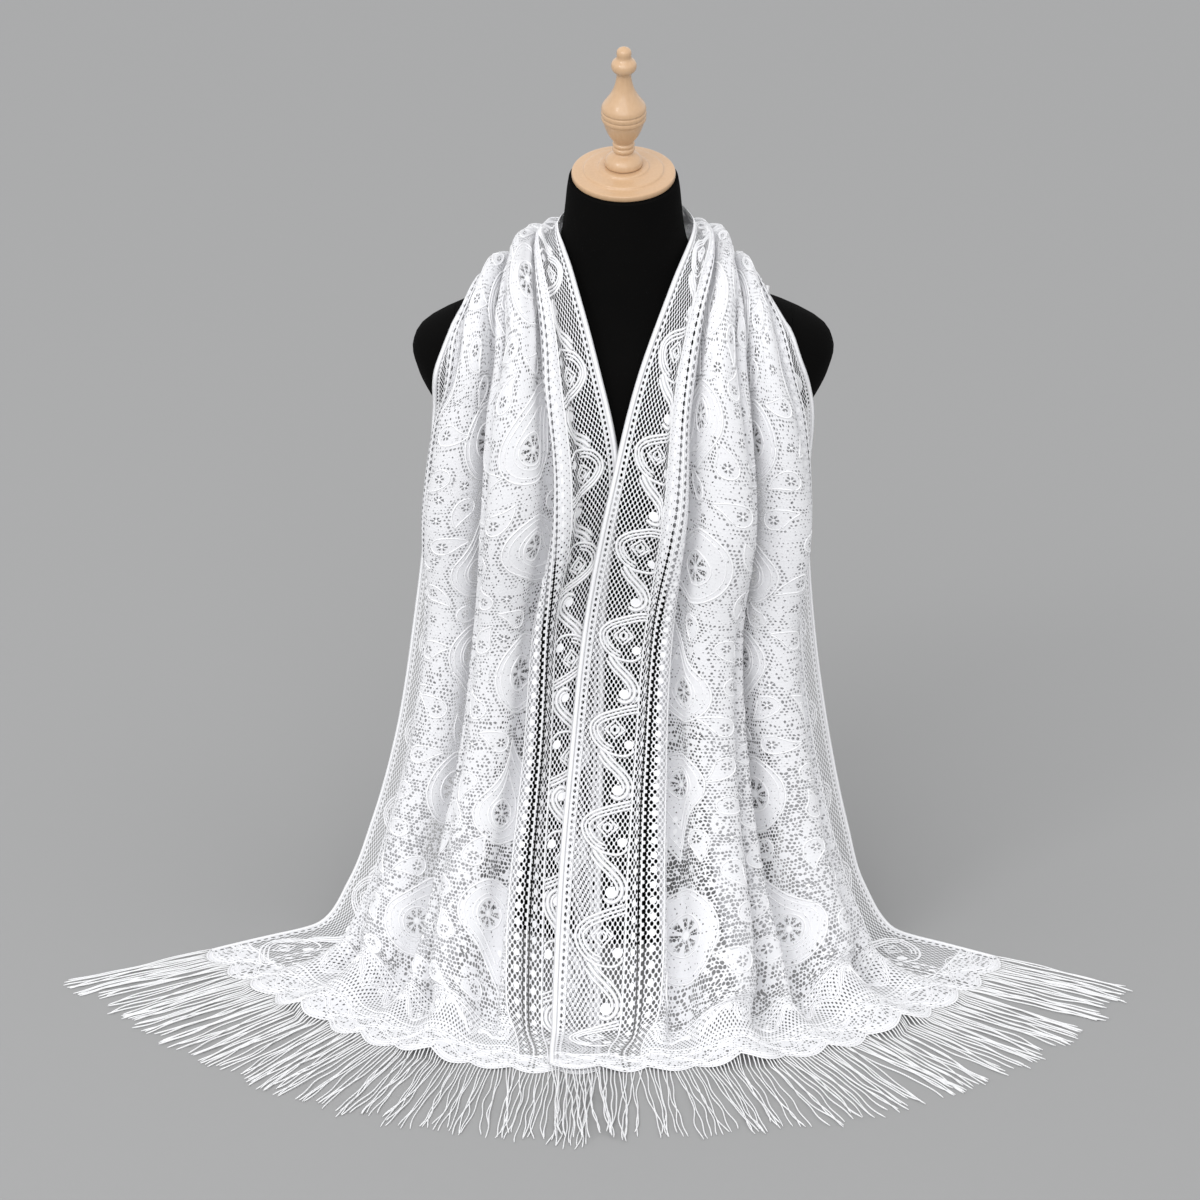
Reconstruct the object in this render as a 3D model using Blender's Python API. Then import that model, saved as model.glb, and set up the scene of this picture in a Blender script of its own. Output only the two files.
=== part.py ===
"""A lace shawl draped over a limbless dress form, in metres, +Z up, front towards -Y.

The origin is the centre of the form's flat base. The shawl is one strip of cloth that
goes round the back of the neck and falls down both sides of the front, where its two
fringed ends spread over the surface that the form stands on.
"""

import math

import bmesh
import bpy
import numpy as np
from mathutils import Vector
from mathutils.geometry import delaunay_2d_cdt

# Cloth sizes
CLOTH_LENGTH = 1.98
CLOTH_WIDTH = 0.55
WALL = 0.0015
SEAM_GAP = 0.0004
FORM_CLEARANCE = 0.0034
HALF_LENGTH = CLOTH_LENGTH / 2
SHOULDER_V = 0.185

# Dress form sizes
FORM_HEIGHT = 0.7124
NECK_TILT = math.radians(14.5)
NECK_TILT_START = 0.640
FORM_SIDES = 30
FORM_SHIFT = -0.004
FORM_SHIFT_START = 0.300
FORM_SHIFT_RISE = 0.200
ARM_PLANE_X = 0.153

# Edges sharper than these are not smoothed
CREASE_ANGLE = math.radians(50)
TURNED_CREASE_ANGLE = math.radians(40)

# Turned pieces on the neck: distance above the plane of the cap's rim, radius
PIECE_GAP = 0.0003
RIM_PLANE_Z = 0.7190
CAP_SIDES = 28
FINIAL_SIDES = 18
CAP_PROFILE = (
    (-0.0060, 0.0), (-0.0060, 0.0462), (-0.0048, 0.0470), (-0.0012, 0.0470), (0.0000, 0.0460),
    (0.0004, 0.0368), (0.0026, 0.0360), (0.0032, 0.0345), (0.0036, 0.0238), (0.0056, 0.0230),
    (0.0062, 0.0215), (0.0062, 0.0),
)
FINIAL_PROFILE = (
    (0.0065, 0.0), (0.0065, 0.0166), (0.0085, 0.0174), (0.0125, 0.0166), (0.0160, 0.0136),
    (0.0188, 0.0088), (0.0204, 0.0082), (0.0220, 0.0102), (0.0244, 0.0102), (0.0258, 0.0088),
    (0.0272, 0.0100), (0.0290, 0.0100), (0.0304, 0.0084), (0.0330, 0.0104), (0.0400, 0.0150),
    (0.0480, 0.0178), (0.0520, 0.0186), (0.0532, 0.0201), (0.0558, 0.0202), (0.0570, 0.0194),
    (0.0582, 0.0204), (0.0610, 0.0204), (0.0622, 0.0194), (0.0636, 0.0203), (0.0656, 0.0199),
    (0.0680, 0.0190), (0.0740, 0.0146), (0.0800, 0.0110), (0.0870, 0.0082), (0.0955, 0.0065),
    (0.1000, 0.0070), (0.1030, 0.0106), (0.1070, 0.0116), (0.1110, 0.0106), (0.1140, 0.0070),
    (0.1165, 0.0063), (0.1200, 0.0069), (0.1236, 0.0056), (0.1260, 0.0),
)

# Horizontal slices of the form: height, half width, depth to the front, depth to the back
FORM_SLICES = (
    (0.000, 0.134, 0.106, 0.096),
    (0.012, 0.137, 0.108, 0.098),
    (0.080, 0.144, 0.112, 0.106),
    (0.160, 0.141, 0.108, 0.104),
    (0.250, 0.122, 0.098, 0.090),
    (0.330, 0.113, 0.094, 0.082),
    (0.400, 0.119, 0.103, 0.084),
    (0.450, 0.131, 0.112, 0.088),
    (0.480, 0.154, 0.114, 0.091),
    (0.510, 0.176, 0.110, 0.093),
    (0.535, 0.188, 0.102, 0.093),
    (0.560, 0.1915, 0.091, 0.090),
    (0.577, 0.181, 0.081, 0.085),
    (0.590, 0.157, 0.073, 0.078),
    (0.602, 0.125, 0.067, 0.070),
    (0.615, 0.091, 0.061, 0.063),
    (0.632, 0.069, 0.056, 0.058),
    (0.655, 0.0580, 0.0530, 0.0540),
    (0.685, 0.0530, 0.0510, 0.0515),
    (0.705, 0.0508, 0.0496, 0.0498),
    (0.7124, 0.0495, 0.0485, 0.0485),
)

# Stations along the cloth. v is the distance from the middle of the nape, negative
# towards the left end. Each row gives the inner edge, the middle and the outer edge of
# the line across the cloth that its fold valleys lie on, the fullness (cloth across for
# each metre of that line), the flat width kept at each edge, and how far folds lean out.
STATIONS = (
    # v, inner x y z, middle x y z, outer x y z, fullness, flat edge, lean
    (-0.990, -0.024, -0.372, -0.004, -0.225, -0.318, -0.004, -0.400, -0.124, -0.002, 1.02, 0.070, 0.0),
    (-0.945, -0.024, -0.328, -0.004, -0.190, -0.280, -0.005, -0.345, -0.092, -0.002, 1.09, 0.065, 0.1),
    (-0.900, -0.024, -0.287, 0.002, -0.160, -0.248, 0.000, -0.292, -0.066, 0.004, 1.38, 0.060, 0.3),
    (-0.845, -0.024, -0.245, 0.048, -0.140, -0.210, 0.045, -0.262, -0.058, 0.046, 1.62, 0.055, 0.4),
    (-0.780, -0.024, -0.200, 0.115, -0.130, -0.176, 0.105, -0.240, -0.050, 0.103, 1.80, 0.050, 0.4),
    (-0.680, -0.022, -0.150, 0.212, -0.118, -0.138, 0.195, -0.216, -0.042, 0.190, 2.00, 0.045, 0.4),
    (-0.550, -0.020, -0.124, 0.345, -0.105, -0.116, 0.322, -0.196, -0.034, 0.315, 2.15, 0.040, 0.4),
    (-0.420, -0.008, -0.122, 0.480, -0.100, -0.112, 0.440, -0.184, -0.030, 0.420, 2.35, 0.032, 0.4),
    (-0.320, -0.028, -0.098, 0.572, -0.104, -0.096, 0.535, -0.177, -0.042, 0.505, 2.30, 0.026, 0.3),
    (-0.245, -0.050, -0.054, 0.640, -0.108, -0.060, 0.598, -0.171, -0.057, 0.558, 2.15, 0.018, 0.1),
    (-0.185, -0.063, 0.000, 0.668, -0.098, 0.004, 0.630, -0.145, -0.006, 0.602, 2.20, 0.012, 0.0),
    (-0.140, -0.056, 0.028, 0.674, -0.100, 0.052, 0.606, -0.137, 0.051, 0.588, 1.88, 0.018, 0.0),
    (-0.095, -0.044, 0.050, 0.676, -0.096, 0.083, 0.592, -0.114, 0.085, 0.530, 1.68, 0.030, 0.0),
    (0.000, 0.000, 0.062, 0.676, 0.000, 0.102, 0.575, 0.000, 0.112, 0.468, 1.76, 0.045, 0.0),
    (0.095, 0.042, 0.050, 0.676, 0.092, 0.083, 0.592, 0.108, 0.087, 0.532, 1.68, 0.030, 0.0),
    (0.140, 0.054, 0.028, 0.674, 0.095, 0.052, 0.608, 0.128, 0.051, 0.592, 1.88, 0.018, 0.0),
    (0.185, 0.060, 0.000, 0.666, 0.090, 0.004, 0.628, 0.128, -0.006, 0.604, 2.20, 0.012, 0.0),
    (0.245, 0.040, -0.060, 0.632, 0.094, -0.062, 0.600, 0.150, -0.050, 0.566, 2.15, 0.018, 0.1),
    (0.320, 0.010, -0.104, 0.562, 0.088, -0.100, 0.535, 0.168, -0.046, 0.516, 2.25, 0.028, 0.2),
    (0.420, -0.016, -0.133, 0.465, 0.085, -0.120, 0.440, 0.166, -0.032, 0.425, 2.35, 0.040, 0.4),
    (0.550, -0.040, -0.136, 0.335, 0.084, -0.118, 0.320, 0.173, -0.036, 0.305, 2.15, 0.050, 0.4),
    (0.680, -0.054, -0.164, 0.210, 0.090, -0.140, 0.195, 0.190, -0.044, 0.185, 2.00, 0.055, 0.4),
    (0.780, -0.063, -0.214, 0.118, 0.098, -0.178, 0.105, 0.208, -0.054, 0.100, 1.80, 0.060, 0.4),
    (0.845, -0.067, -0.256, 0.052, 0.108, -0.216, 0.046, 0.224, -0.062, 0.044, 1.62, 0.062, 0.4),
    (0.900, -0.069, -0.298, 0.004, 0.126, -0.254, 0.000, 0.254, -0.078, 0.003, 1.38, 0.065, 0.3),
    (0.945, -0.070, -0.330, -0.004, 0.155, -0.284, -0.005, 0.302, -0.106, -0.002, 1.09, 0.068, 0.1),
    (0.990, -0.070, -0.366, -0.004, 0.190, -0.325, -0.004, 0.354, -0.139, -0.002, 1.02, 0.070, 0.0),
)

# Folds from the inner edge out: share of the cloth, depth at the left end, at the nape
# and at the right end, and how much of each is front face
FOLDS = (
    (0.14, 0.84, 0.95, 0.88, 0.30),
    (0.28, 1.08, 0.94, 1.06, 0.40),
    (0.15, 0.88, 1.06, 0.92, 0.25),
    (0.27, 1.08, 0.90, 1.07, 0.42),
    (0.16, 0.90, 0.92, 0.88, 0.30),
)

# The right end lies over the left one where they cross
OVERLAP_LIFT = 0.0030
OVERLAP_EDGE_X = -0.010
OVERLAP_FADE = 0.030
FLOOR_BLEND = 0.006

RIGHT_SIDE_START = 0.20

# Steps of the cloth's middle surface, and of the search for how far the cloth turns at a fold
FINE_ACROSS = 280
FINE_ALONG = 260
VALLEY_STEPS = 60
SLOPE_STEP = 0.01
WIDEST_FLAT_EDGE = 0.3
MOST_TURN = 2.0
TURN_HALVINGS = 40

# Where the cloth would touch the form it is moved out, a step at a time, and evened
PUSHES = 60
PUSH_STEP = 0.0008
PUSH_AVERAGES = 6

# Grid of each wall: points across a fold and across a flat edge, and rows along the cloth
FOLD_STEPS = 7
EDGE_STEPS = 2
FRONT_ROWS = (
    0.213, 0.245, 0.285, 0.335, 0.400, 0.475, 0.560, 0.640,
    0.710, 0.765, 0.810, 0.843, 0.873, 0.903, 0.938, 0.970,
)
NAPE_ROWS = (-0.160, -0.135, -0.108, -0.078, -0.042, 0.0, 0.042, 0.078, 0.108, 0.135, 0.160)

# Scalloped hem and fringe
SCALLOPS = 12
SCALLOP_STEPS = 6
SCALLOP_DEPTH = 0.009
STRIP_GAP = 0.0008
STRIP_WIDTH = 0.0034
STRIP_HEIGHT = 0.0013
STRIP_RAISE = 0.0005
STRAND_LENGTH = 0.122
STRAND_THICKNESS = 0.0013
STRAND_HEIGHT = 0.0014
STRAND_DRIFT = 0.030
STRAND_SWAY = 0.012
STRAND_UNEVEN = 0.04
STRAND_FLAT = 0.8
TIP_DRIFT = 0.6

# Rings of a strand: share of its length, share of its drift and share of its fall to the surface
STRAND_RINGS = ((0.10, 0.1, 0.35), (0.55, 0.8, 1.0))
STRIP_CREST = 0.45
FRINGE_LEVER = 0.05
FRINGE_AVERAGE = 12
LEFT_FRINGE_SEED = 3
RIGHT_FRINGE_SEED = 8

# Openings of the lace that are cut through
BORDER_REPEAT = 0.088
BORDER_EYE_DISTANCE = 0.038
BORDER_EYE_SIZE = (0.0050, 0.0062)
ROSE_PETALS = 6
ROSE_PETAL_SPAN = (0.0052, 0.0135)
ROSE_PETAL_WIDTH = 0.0060
ROSE_PETAL_WAIST = 0.6
HOLE_CLEARANCE = 0.16

# Round flowers stand on a half-drop repeat of the field, in one of each three places
FIELD_EDGE = 0.090
FIELD_COLUMNS = 4
FIELD_DROP = 0.118
FIELD_END = 0.132
FIELD_SWAY = 0.004
SEAM_MARGIN = 0.012
ROSE_MARGIN = 0.030


def slopes(xs, ys):
    """Tangents of a smooth curve through the rows ys at xs."""
    steps = np.diff(xs)[:, None]
    rises = np.diff(ys, axis=0) / steps
    middle = (rises[:-1] * steps[1:] + rises[1:] * steps[:-1]) / (steps[1:] + steps[:-1])
    return np.vstack([rises[:1], middle, rises[-1:]])


def smooth_rows(table, xs):
    """Every column of the table, read smoothly at the places xs of its first column."""
    table = np.array(table, float)
    keys, values = table[:, 0], table[:, 1:]
    tangents = slopes(keys, values)
    index = np.clip(np.searchsorted(keys, xs) - 1, 0, len(keys) - 2)
    width = (keys[index + 1] - keys[index])[:, None]
    t = ((xs - keys[index])[:, None]) / width
    start = values[index] * (2 * t**3 - 3 * t**2 + 1) + tangents[index] * width * (t**3 - 2 * t**2 + t)
    end = values[index + 1] * (3 * t**2 - 2 * t**3) + tangents[index + 1] * width * (t**3 - t**2)
    return start + end


def smoothstep(x):
    """Rises from 0 to 1 with level ends."""
    x = np.clip(x, 0.0, 1.0)
    return x * x * (3 - 2 * x)


def soft_floor(z, level, blend):
    """z kept at or above the level, with a rounded change over the blend height."""
    rise = z - level
    t = np.clip((rise + blend) / (2 * blend), 0.0, 1.0)
    return level + np.where(rise > blend, rise, blend * t * t)


def form_outline(z):
    """Half width, front depth and back depth of the form at the heights z."""
    rows = smooth_rows(FORM_SLICES, np.clip(z, 0.0, FORM_HEIGHT).ravel())
    return [rows[:, k].reshape(np.shape(z)) for k in range(3)]


def neck_drop(y, z):
    """How far the tilt of the neck moves a point of a slice up or down."""
    share = smoothstep((z - NECK_TILT_START) / (FORM_HEIGHT - NECK_TILT_START))
    return y * math.tan(NECK_TILT) * share


def form_centre(z):
    """How far the form leans to one side above its waist."""
    return FORM_SHIFT * smoothstep((z - FORM_SHIFT_START) / FORM_SHIFT_RISE)


def inside_form(x, y, z):
    """Whether points lie inside the form."""
    level = z - neck_drop(y, z)
    half, front, back = form_outline(level)
    depth = np.where(y < 0, front, back)
    return (((x - form_centre(level)) / half) ** 2 + (y / depth) ** 2 < 1) & (level < FORM_HEIGHT)


def fold_turns(places, v):
    """Direction of the cloth across its width, for a turn of 1 radian at each fold."""
    turns = np.zeros_like(places)
    side = np.clip(v / HALF_LENGTH, -1.0, 1.0)
    start = 0.0
    for share, left, nape, right, face in FOLDS:
        t = np.clip((places - start) / share, 0.0, 1.0)
        phase = 2 * math.pi * t + face * np.sin(2 * math.pi * t)
        depth = nape + (right - nape) * side if side > 0 else nape + (nape - left) * side
        turns += depth * np.sin(phase) * ((places >= start) & (places < start + share))
        start += share
    return turns


def folded_line(length, fullness, edge, v):
    """Places along the valley line and heights over it, for even steps across the cloth."""
    steps = np.linspace(0.0, 1.0, FINE_ACROSS + 1)
    width = length * fullness
    flat = min(edge / width, WIDEST_FLAT_EDGE)
    turns = fold_turns((steps - flat) / (1 - 2 * flat), v)
    low, high = 0.0, MOST_TURN
    for _ in range(TURN_HALVINGS):
        turn = (low + high) / 2
        if np.cos(turn * turns).mean() * fullness > 1:
            low = turn
        else:
            high = turn
    angles = low * turns
    across = np.concatenate([[0], np.cumsum((np.cos(angles[1:]) + np.cos(angles[:-1])) / 2)])
    rise = np.concatenate([[0], np.cumsum((np.sin(angles[1:]) + np.sin(angles[:-1])) / 2)])
    rise -= rise[-1] * steps
    scale = length / across[-1]
    return across / across[-1], np.maximum(rise, 0) * scale


def cloth_grid():
    """Middle surface of the cloth: points, unit normals, widths of the cloth and distances along it."""
    vs = np.linspace(-HALF_LENGTH, HALF_LENGTH, FINE_ALONG + 1)
    rows = smooth_rows(STATIONS, vs)
    inner, middle, outer = rows[:, 0:3], rows[:, 3:6], rows[:, 6:9]
    dense = np.linspace(0.0, 1.0, VALLEY_STEPS)[None, :, None]

    def valley(q):
        return (
            inner[:, None] * (2 * q - 1) * (q - 1)
            + middle[:, None] * 4 * q * (1 - q)
            + outer[:, None] * q * (2 * q - 1)
        )

    runs = np.linalg.norm(np.diff(valley(dense), axis=1), axis=2)
    lengths = runs.sum(axis=1)
    across = np.empty((len(vs), FINE_ACROSS + 1))
    rise = np.empty_like(across)
    for j, v in enumerate(vs):
        across[j], rise[j] = folded_line(lengths[j], rows[j, 9], rows[j, 10], v)
    # Valley lines are read at even distances along themselves
    travelled = np.hstack([np.zeros((len(vs), 1)), np.cumsum(runs, axis=1)]) / lengths[:, None]
    leaned = across + rows[:, 11:12] * rise / lengths[:, None]
    q = np.array([np.interp(leaned[j], travelled[j], dense[0, :, 0]) for j in range(len(vs))])
    over = np.maximum(leaned - 1.0, 0.0)
    base = valley((q + over)[..., None])
    inside_q = np.clip(q, SLOPE_STEP, 1 - SLOPE_STEP)[..., None]
    along_q = valley(inside_q + SLOPE_STEP) - valley(inside_q - SLOPE_STEP)
    along_v_valley = np.gradient(valley(dense), vs, axis=0)
    along_v = np.empty_like(base)
    for j in range(len(vs)):
        for k in range(3):
            along_v[j, :, k] = np.interp(q[j], dense[0, :, 0], along_v_valley[j, :, k])
    normals = np.cross(along_v, along_q)
    normals /= np.linalg.norm(normals, axis=2, keepdims=True)
    points = base + normals * rise[..., None]
    points = clear_of_form(points, normals)
    points = laid_on_floor(points, vs)
    return points, surface_normals(points), lengths * rows[:, 9], vs


def clear_of_form(points, outward):
    """Points moved outwards, a little at a time, until a wall's half and a gap clear the form."""
    reach = WALL / 2 + FORM_CLEARANCE
    ways = ((0, 0, 0), (0, 0, -1), (1, 0, 0), (-1, 0, 0), (0, 1, 0), (0, -1, 0))
    offsets = [np.array(way) * reach for way in ways]
    moved = np.zeros(points.shape[:2])
    for _ in range(PUSHES):
        now = points + outward * moved[..., None]
        touching = np.zeros(moved.shape, bool)
        for offset in offsets:
            probe = now + offset
            touching |= inside_form(probe[..., 0], probe[..., 1], probe[..., 2])
        if not touching.any():
            break
        moved[touching] += PUSH_STEP
    # A short average keeps the pushed cloth even
    for _ in range(PUSH_AVERAGES):
        padded = np.pad(moved, 1, mode="edge")
        mean = (padded[:-2, 1:-1] + padded[2:, 1:-1] + padded[1:-1, :-2] + padded[1:-1, 2:]) / 4
        moved = np.maximum(moved, mean)
    return points + outward * moved[..., None]


def laid_on_floor(points, vs):
    """The cloth brought to rest on the surface, the right end over the left one."""
    points = points.copy()
    right = smoothstep(vs / RIGHT_SIDE_START)[:, None]
    lift = OVERLAP_LIFT * smoothstep((OVERLAP_EDGE_X - points[..., 0]) / OVERLAP_FADE + 0.5) * right
    points[..., 2] = soft_floor(points[..., 2], WALL / 2 + lift, FLOOR_BLEND)
    return points


def surface_normals(points):
    """Unit normals of a grid of points, away from the form."""
    normals = np.cross(np.gradient(points, axis=0), np.gradient(points, axis=1))
    return normals / np.linalg.norm(normals, axis=2, keepdims=True)


class Cloth:
    """The cloth's middle surface, read at any share u of its width and distance v along it."""

    def __init__(self):
        self.points, self.normals, self.widths, self.vs = cloth_grid()
        self.edges = smooth_rows(STATIONS, self.vs)[:, 10]

    def flat_share(self, v):
        """Share of the width that stays flat at each edge."""
        return min(float(np.interp(v, self.vs, self.edges)) / self.width_at(v), WIDEST_FLAT_EDGE)

    def at(self, u, v):
        """Point and unit normal."""
        row = np.clip((v + HALF_LENGTH) / CLOTH_LENGTH, 0.0, 1.0) * FINE_ALONG
        column = np.clip(u, 0.0, 1.0) * FINE_ACROSS
        j = min(int(row), FINE_ALONG - 1)
        i = min(int(column), FINE_ACROSS - 1)
        a, b = row - j, column - i
        read = []
        for field in (self.points, self.normals):
            low = field[j, i] * (1 - b) + field[j, i + 1] * b
            high = field[j + 1, i] * (1 - b) + field[j + 1, i + 1] * b
            read.append(low * (1 - a) + high * a)
        return read[0], read[1] / np.linalg.norm(read[1])

    def layers_at(self, u, v):
        """Points of the wall's outer and inner side."""
        point, normal = self.at(u, v)
        return point + normal * WALL / 2, point - normal * WALL / 2

    def width_at(self, v):
        """Cloth from edge to edge across the distance v."""
        return float(np.interp(v, self.vs, self.widths))

    def share_at(self, distance, v):
        """Share of the width at a cloth distance from the inner edge, or from the outer one if negative."""
        share = distance / self.width_at(v)
        return share if distance >= 0 else 1.0 + share


def hem_v(u):
    """Distance from the nape to the scalloped hem at the share u of the width."""
    lobe = abs(math.sin(math.pi * SCALLOPS * u))
    return HALF_LENGTH - SCALLOP_DEPTH * (1 - lobe)


def column_places():
    """Places of the grid's columns: -1 to 0 over the inner edge, 0 to 1 over the folds, then to 2."""
    places = [-1 + k / EDGE_STEPS for k in range(EDGE_STEPS)]
    start = 0.0
    for share, *_ in FOLDS:
        places += [start + share * k / FOLD_STEPS for k in range(FOLD_STEPS)]
        start += share
    return places + [1 + k / EDGE_STEPS for k in range(EDGE_STEPS + 1)]


def share_of_place(place, flat):
    """Share of the width at a place of the grid's columns."""
    if place < 0:
        return (place + 1) * flat
    if place > 1:
        return 1 - flat + (place - 1) * flat
    return flat + place * (1 - 2 * flat)


def place_of_share(u, flat):
    """Place of the grid's columns at a share of the width."""
    if u < flat:
        return u / flat - 1
    if u > 1 - flat:
        return 1 + (u - 1 + flat) / flat
    return (u - flat) / (1 - 2 * flat)


def lace_openings(v_low, v_high, cloth):
    """Outlines of the cut openings between two distances along the cloth, as (u, v) corners."""
    outlines = []
    half_u, half_v = BORDER_EYE_SIZE[0] / 2, BORDER_EYE_SIZE[1] / 2
    count = int((HALF_LENGTH - FIELD_EDGE) / BORDER_REPEAT)
    for number in range(-count, count + 1):
        v = number * BORDER_REPEAT
        if not v_low + SEAM_MARGIN < v < v_high - SEAM_MARGIN:
            continue
        for edge in (1, -1):
            width = cloth.width_at(v)
            u = cloth.share_at(edge * BORDER_EYE_DISTANCE, v)
            corners = ((half_u / width, 0.0), (0.0, half_v), (-half_u / width, 0.0), (0.0, -half_v))
            outlines.append([(u + du, v + dv) for du, dv in corners])
    for u, v in rose_places():
        if v_low + ROSE_MARGIN < v < v_high - ROSE_MARGIN:
            outlines += rose_petals(u * cloth.width_at(v), v, cloth)
    return outlines


def rose_places():
    """Share of the width and distance along the cloth of each round flower."""
    places = []
    step = (CLOTH_WIDTH - 2 * FIELD_EDGE) / FIELD_COLUMNS
    rows = int(CLOTH_LENGTH / FIELD_DROP)
    for column in range(FIELD_COLUMNS):
        for row in range(-rows, rows + 1):
            v = (row + 0.5 * (column % 2)) * FIELD_DROP
            if (row + 2 * column) % 3 == 1 and abs(v) < HALF_LENGTH - FIELD_END:
                x = FIELD_EDGE + step * (column + 0.5) + FIELD_SWAY * math.sin(1.7 * row + column)
                places.append((x / CLOTH_WIDTH, v))
    return places


def rose_petals(distance, v, cloth):
    """The petal openings of one round flower, in a ring."""
    petals = []
    near, far = ROSE_PETAL_SPAN
    for number in range(ROSE_PETALS):
        angle = 2 * math.pi * (number + 0.5) / ROSE_PETALS
        along = (math.cos(angle), math.sin(angle))
        aside = (-along[1], along[0])
        petal = []
        waist = near + (far - near) * ROSE_PETAL_WAIST
        for reach, width in ((near, 0.0), (waist, 0.5), (far, 0.0), (waist, -0.5)):
            x = along[0] * reach + aside[0] * width * ROSE_PETAL_WIDTH
            y = along[1] * reach + aside[1] * width * ROSE_PETAL_WIDTH
            petal.append((cloth.share_at(distance + x, v + y), v + y))
        petals.append(petal)
    return petals


def wall_mesh(name, cloth, rows, hem_side):
    """A closed wall over the rows along the cloth. hem_side is 0, or the sign of the hem's end."""
    places = column_places()
    columns, last = len(places), len(rows) - 1
    lines = [*rows, hem_side * HALF_LENGTH] if hem_side else list(rows)
    grid = np.array([
        [cloth.layers_at(share_of_place(place, cloth.flat_share(v)), v) for place in places]
        for v in lines
    ])

    def on_grid(i, j):
        """Outer and inner point at a place between the grid's columns and rows."""
        i0, j0 = min(int(i), columns - 2), min(int(j), len(lines) - 2)
        a, b = i - i0, j - j0
        near = grid[j0, i0] * (1 - a) + grid[j0, i0 + 1] * a
        far = grid[j0 + 1, i0] * (1 - a) + grid[j0 + 1, i0 + 1] * a
        return near * (1 - b) + far * b

    def spot_of(u, v):
        """The place between the grid's columns and rows at the share u and the distance v."""
        i = float(np.interp(place_of_share(u, cloth.flat_share(v)), places, range(columns)))
        rising = np.argsort(lines)
        return i, float(np.interp(v, np.array(lines)[rising], rising))

    outline = [(float(i), 0.0) for i in range(columns)]
    outline += [(float(columns - 1), float(j)) for j in range(1, last + 1)]
    on_hem = {}
    if hem_side:
        for number in range(SCALLOPS * SCALLOP_STEPS, -1, -1):
            u = number / (SCALLOPS * SCALLOP_STEPS)
            v = hem_side * hem_v(u)
            spot = spot_of(u, v)
            outline.append(spot)
            on_hem[spot] = cloth.layers_at(u, v)
    else:
        outline += [(float(i), float(last)) for i in range(columns - 2, 0, -1)]
    outline += [(0.0, float(j)) for j in range(last, 0, -1)]

    holes = []
    for corners in lace_openings(min(rows), max(rows), cloth):
        holes.append([spot_of(u, v) for u, v in corners])
    places_2d, edges = [], []
    for loop in (outline, *holes):
        first = len(places_2d)
        places_2d += loop
        edges += [(first + k, first + (k + 1) % len(loop)) for k in range(len(loop))]
    hole_corners = np.array([spot for hole in holes for spot in hole])
    last_inside = last if hem_side else last - 1
    for j in range(1, last_inside + 1):
        for i in range(1, columns - 1):
            clear = np.hypot(hole_corners[:, 0] - i, hole_corners[:, 1] - j).min() > HOLE_CLEARANCE
            if clear and not any(inside_outline((i, j), hole) for hole in holes):
                places_2d.append((float(i), float(j)))

    spots, _, faces, sources, *_ = delaunay_2d_cdt([Vector(p) for p in places_2d], edges, [], 0, 1e-6)
    kept = []
    for face in faces:
        centre = (sum(spots[k].x for k in face) / 3, sum(spots[k].y for k in face) / 3)
        if inside_outline(centre, outline) and not any(inside_outline(centre, hole) for hole in holes):
            kept.append(face)
    outer, inner = [], []
    for source in sources:
        spot = places_2d[source[0]]
        out_point, in_point = on_hem[spot] if spot in on_hem else on_grid(*spot)
        outer.append(out_point)
        inner.append(in_point)
    return closed_wall(name, outer, inner, kept)


def inside_outline(point, outline):
    """Whether a place lies inside a closed outline, by counting the sides to its right."""
    x, y = point
    xs, ys = np.transpose(outline)
    next_xs, next_ys = np.roll(xs, -1), np.roll(ys, -1)
    crosses = (ys > y) != (next_ys > y)
    with np.errstate(divide="ignore", invalid="ignore"):
        at = xs + (y - ys) / (next_ys - ys) * (next_xs - xs)
    return bool((crosses & (x < at)).sum() % 2)


def closed_wall(name, outer, inner, faces):
    """Joins two layers with the same faces by a rim along every free edge."""
    count = len(outer)
    mesh_faces = [tuple(face) for face in faces]
    mesh_faces += [tuple(k + count for k in reversed(face)) for face in faces]
    used = {}
    for face in faces:
        for a, b in zip(face, (*face[1:], face[0])):
            used[(a, b)] = True
    for a, b in used:
        if (b, a) not in used:
            mesh_faces.append((b, a, a + count, b + count))
    return mesh_object(name, [*outer, *inner], mesh_faces)


def mesh_object(name, points, faces, smooth_angle=CREASE_ANGLE):
    """An object with smooth shading, except over the sharper edges."""
    mesh = bpy.data.meshes.new(name)
    mesh.from_pydata([tuple(map(float, p)) for p in points], [], faces)
    edit = bmesh.new()
    edit.from_mesh(mesh)
    loose = [vertex for vertex in edit.verts if not vertex.link_faces]
    bmesh.ops.delete(edit, geom=loose, context="VERTS")
    bmesh.ops.recalc_face_normals(edit, faces=edit.faces)
    edit.to_mesh(mesh)
    edit.free()
    mesh.shade_smooth()
    mesh.set_sharp_from_angle(angle=smooth_angle)
    made = bpy.data.objects.new(name, mesh)
    bpy.context.scene.collection.objects.link(made)
    return made


def fringe_ways(cloth, side, count):
    """Level directions in which the strands leave the hem, averaged over their neighbours."""
    ways = []
    for u in np.linspace(0.0, 1.0, count):
        rim, _ = cloth.at(u, side * HALF_LENGTH)
        behind, _ = cloth.at(u, side * (HALF_LENGTH - FRINGE_LEVER))
        ways.append((rim - behind) * (1, 1, 0))
    half = FRINGE_AVERAGE
    ways = np.pad(ways, ((half, half), (0, 0)), mode="edge")
    ways = np.array([ways[k : k + 2 * half + 1].mean(axis=0) for k in range(count)])
    return ways / np.linalg.norm(ways, axis=1, keepdims=True)


def rest_height(spot, side):
    """Height at which a strand rests: over the other end's strands where the two cross."""
    if side < 0:
        return STRAND_HEIGHT
    over = smoothstep((OVERLAP_EDGE_X - spot[0]) / OVERLAP_FADE + 0.5)
    return STRAND_HEIGHT + OVERLAP_LIFT * float(over)


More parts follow.
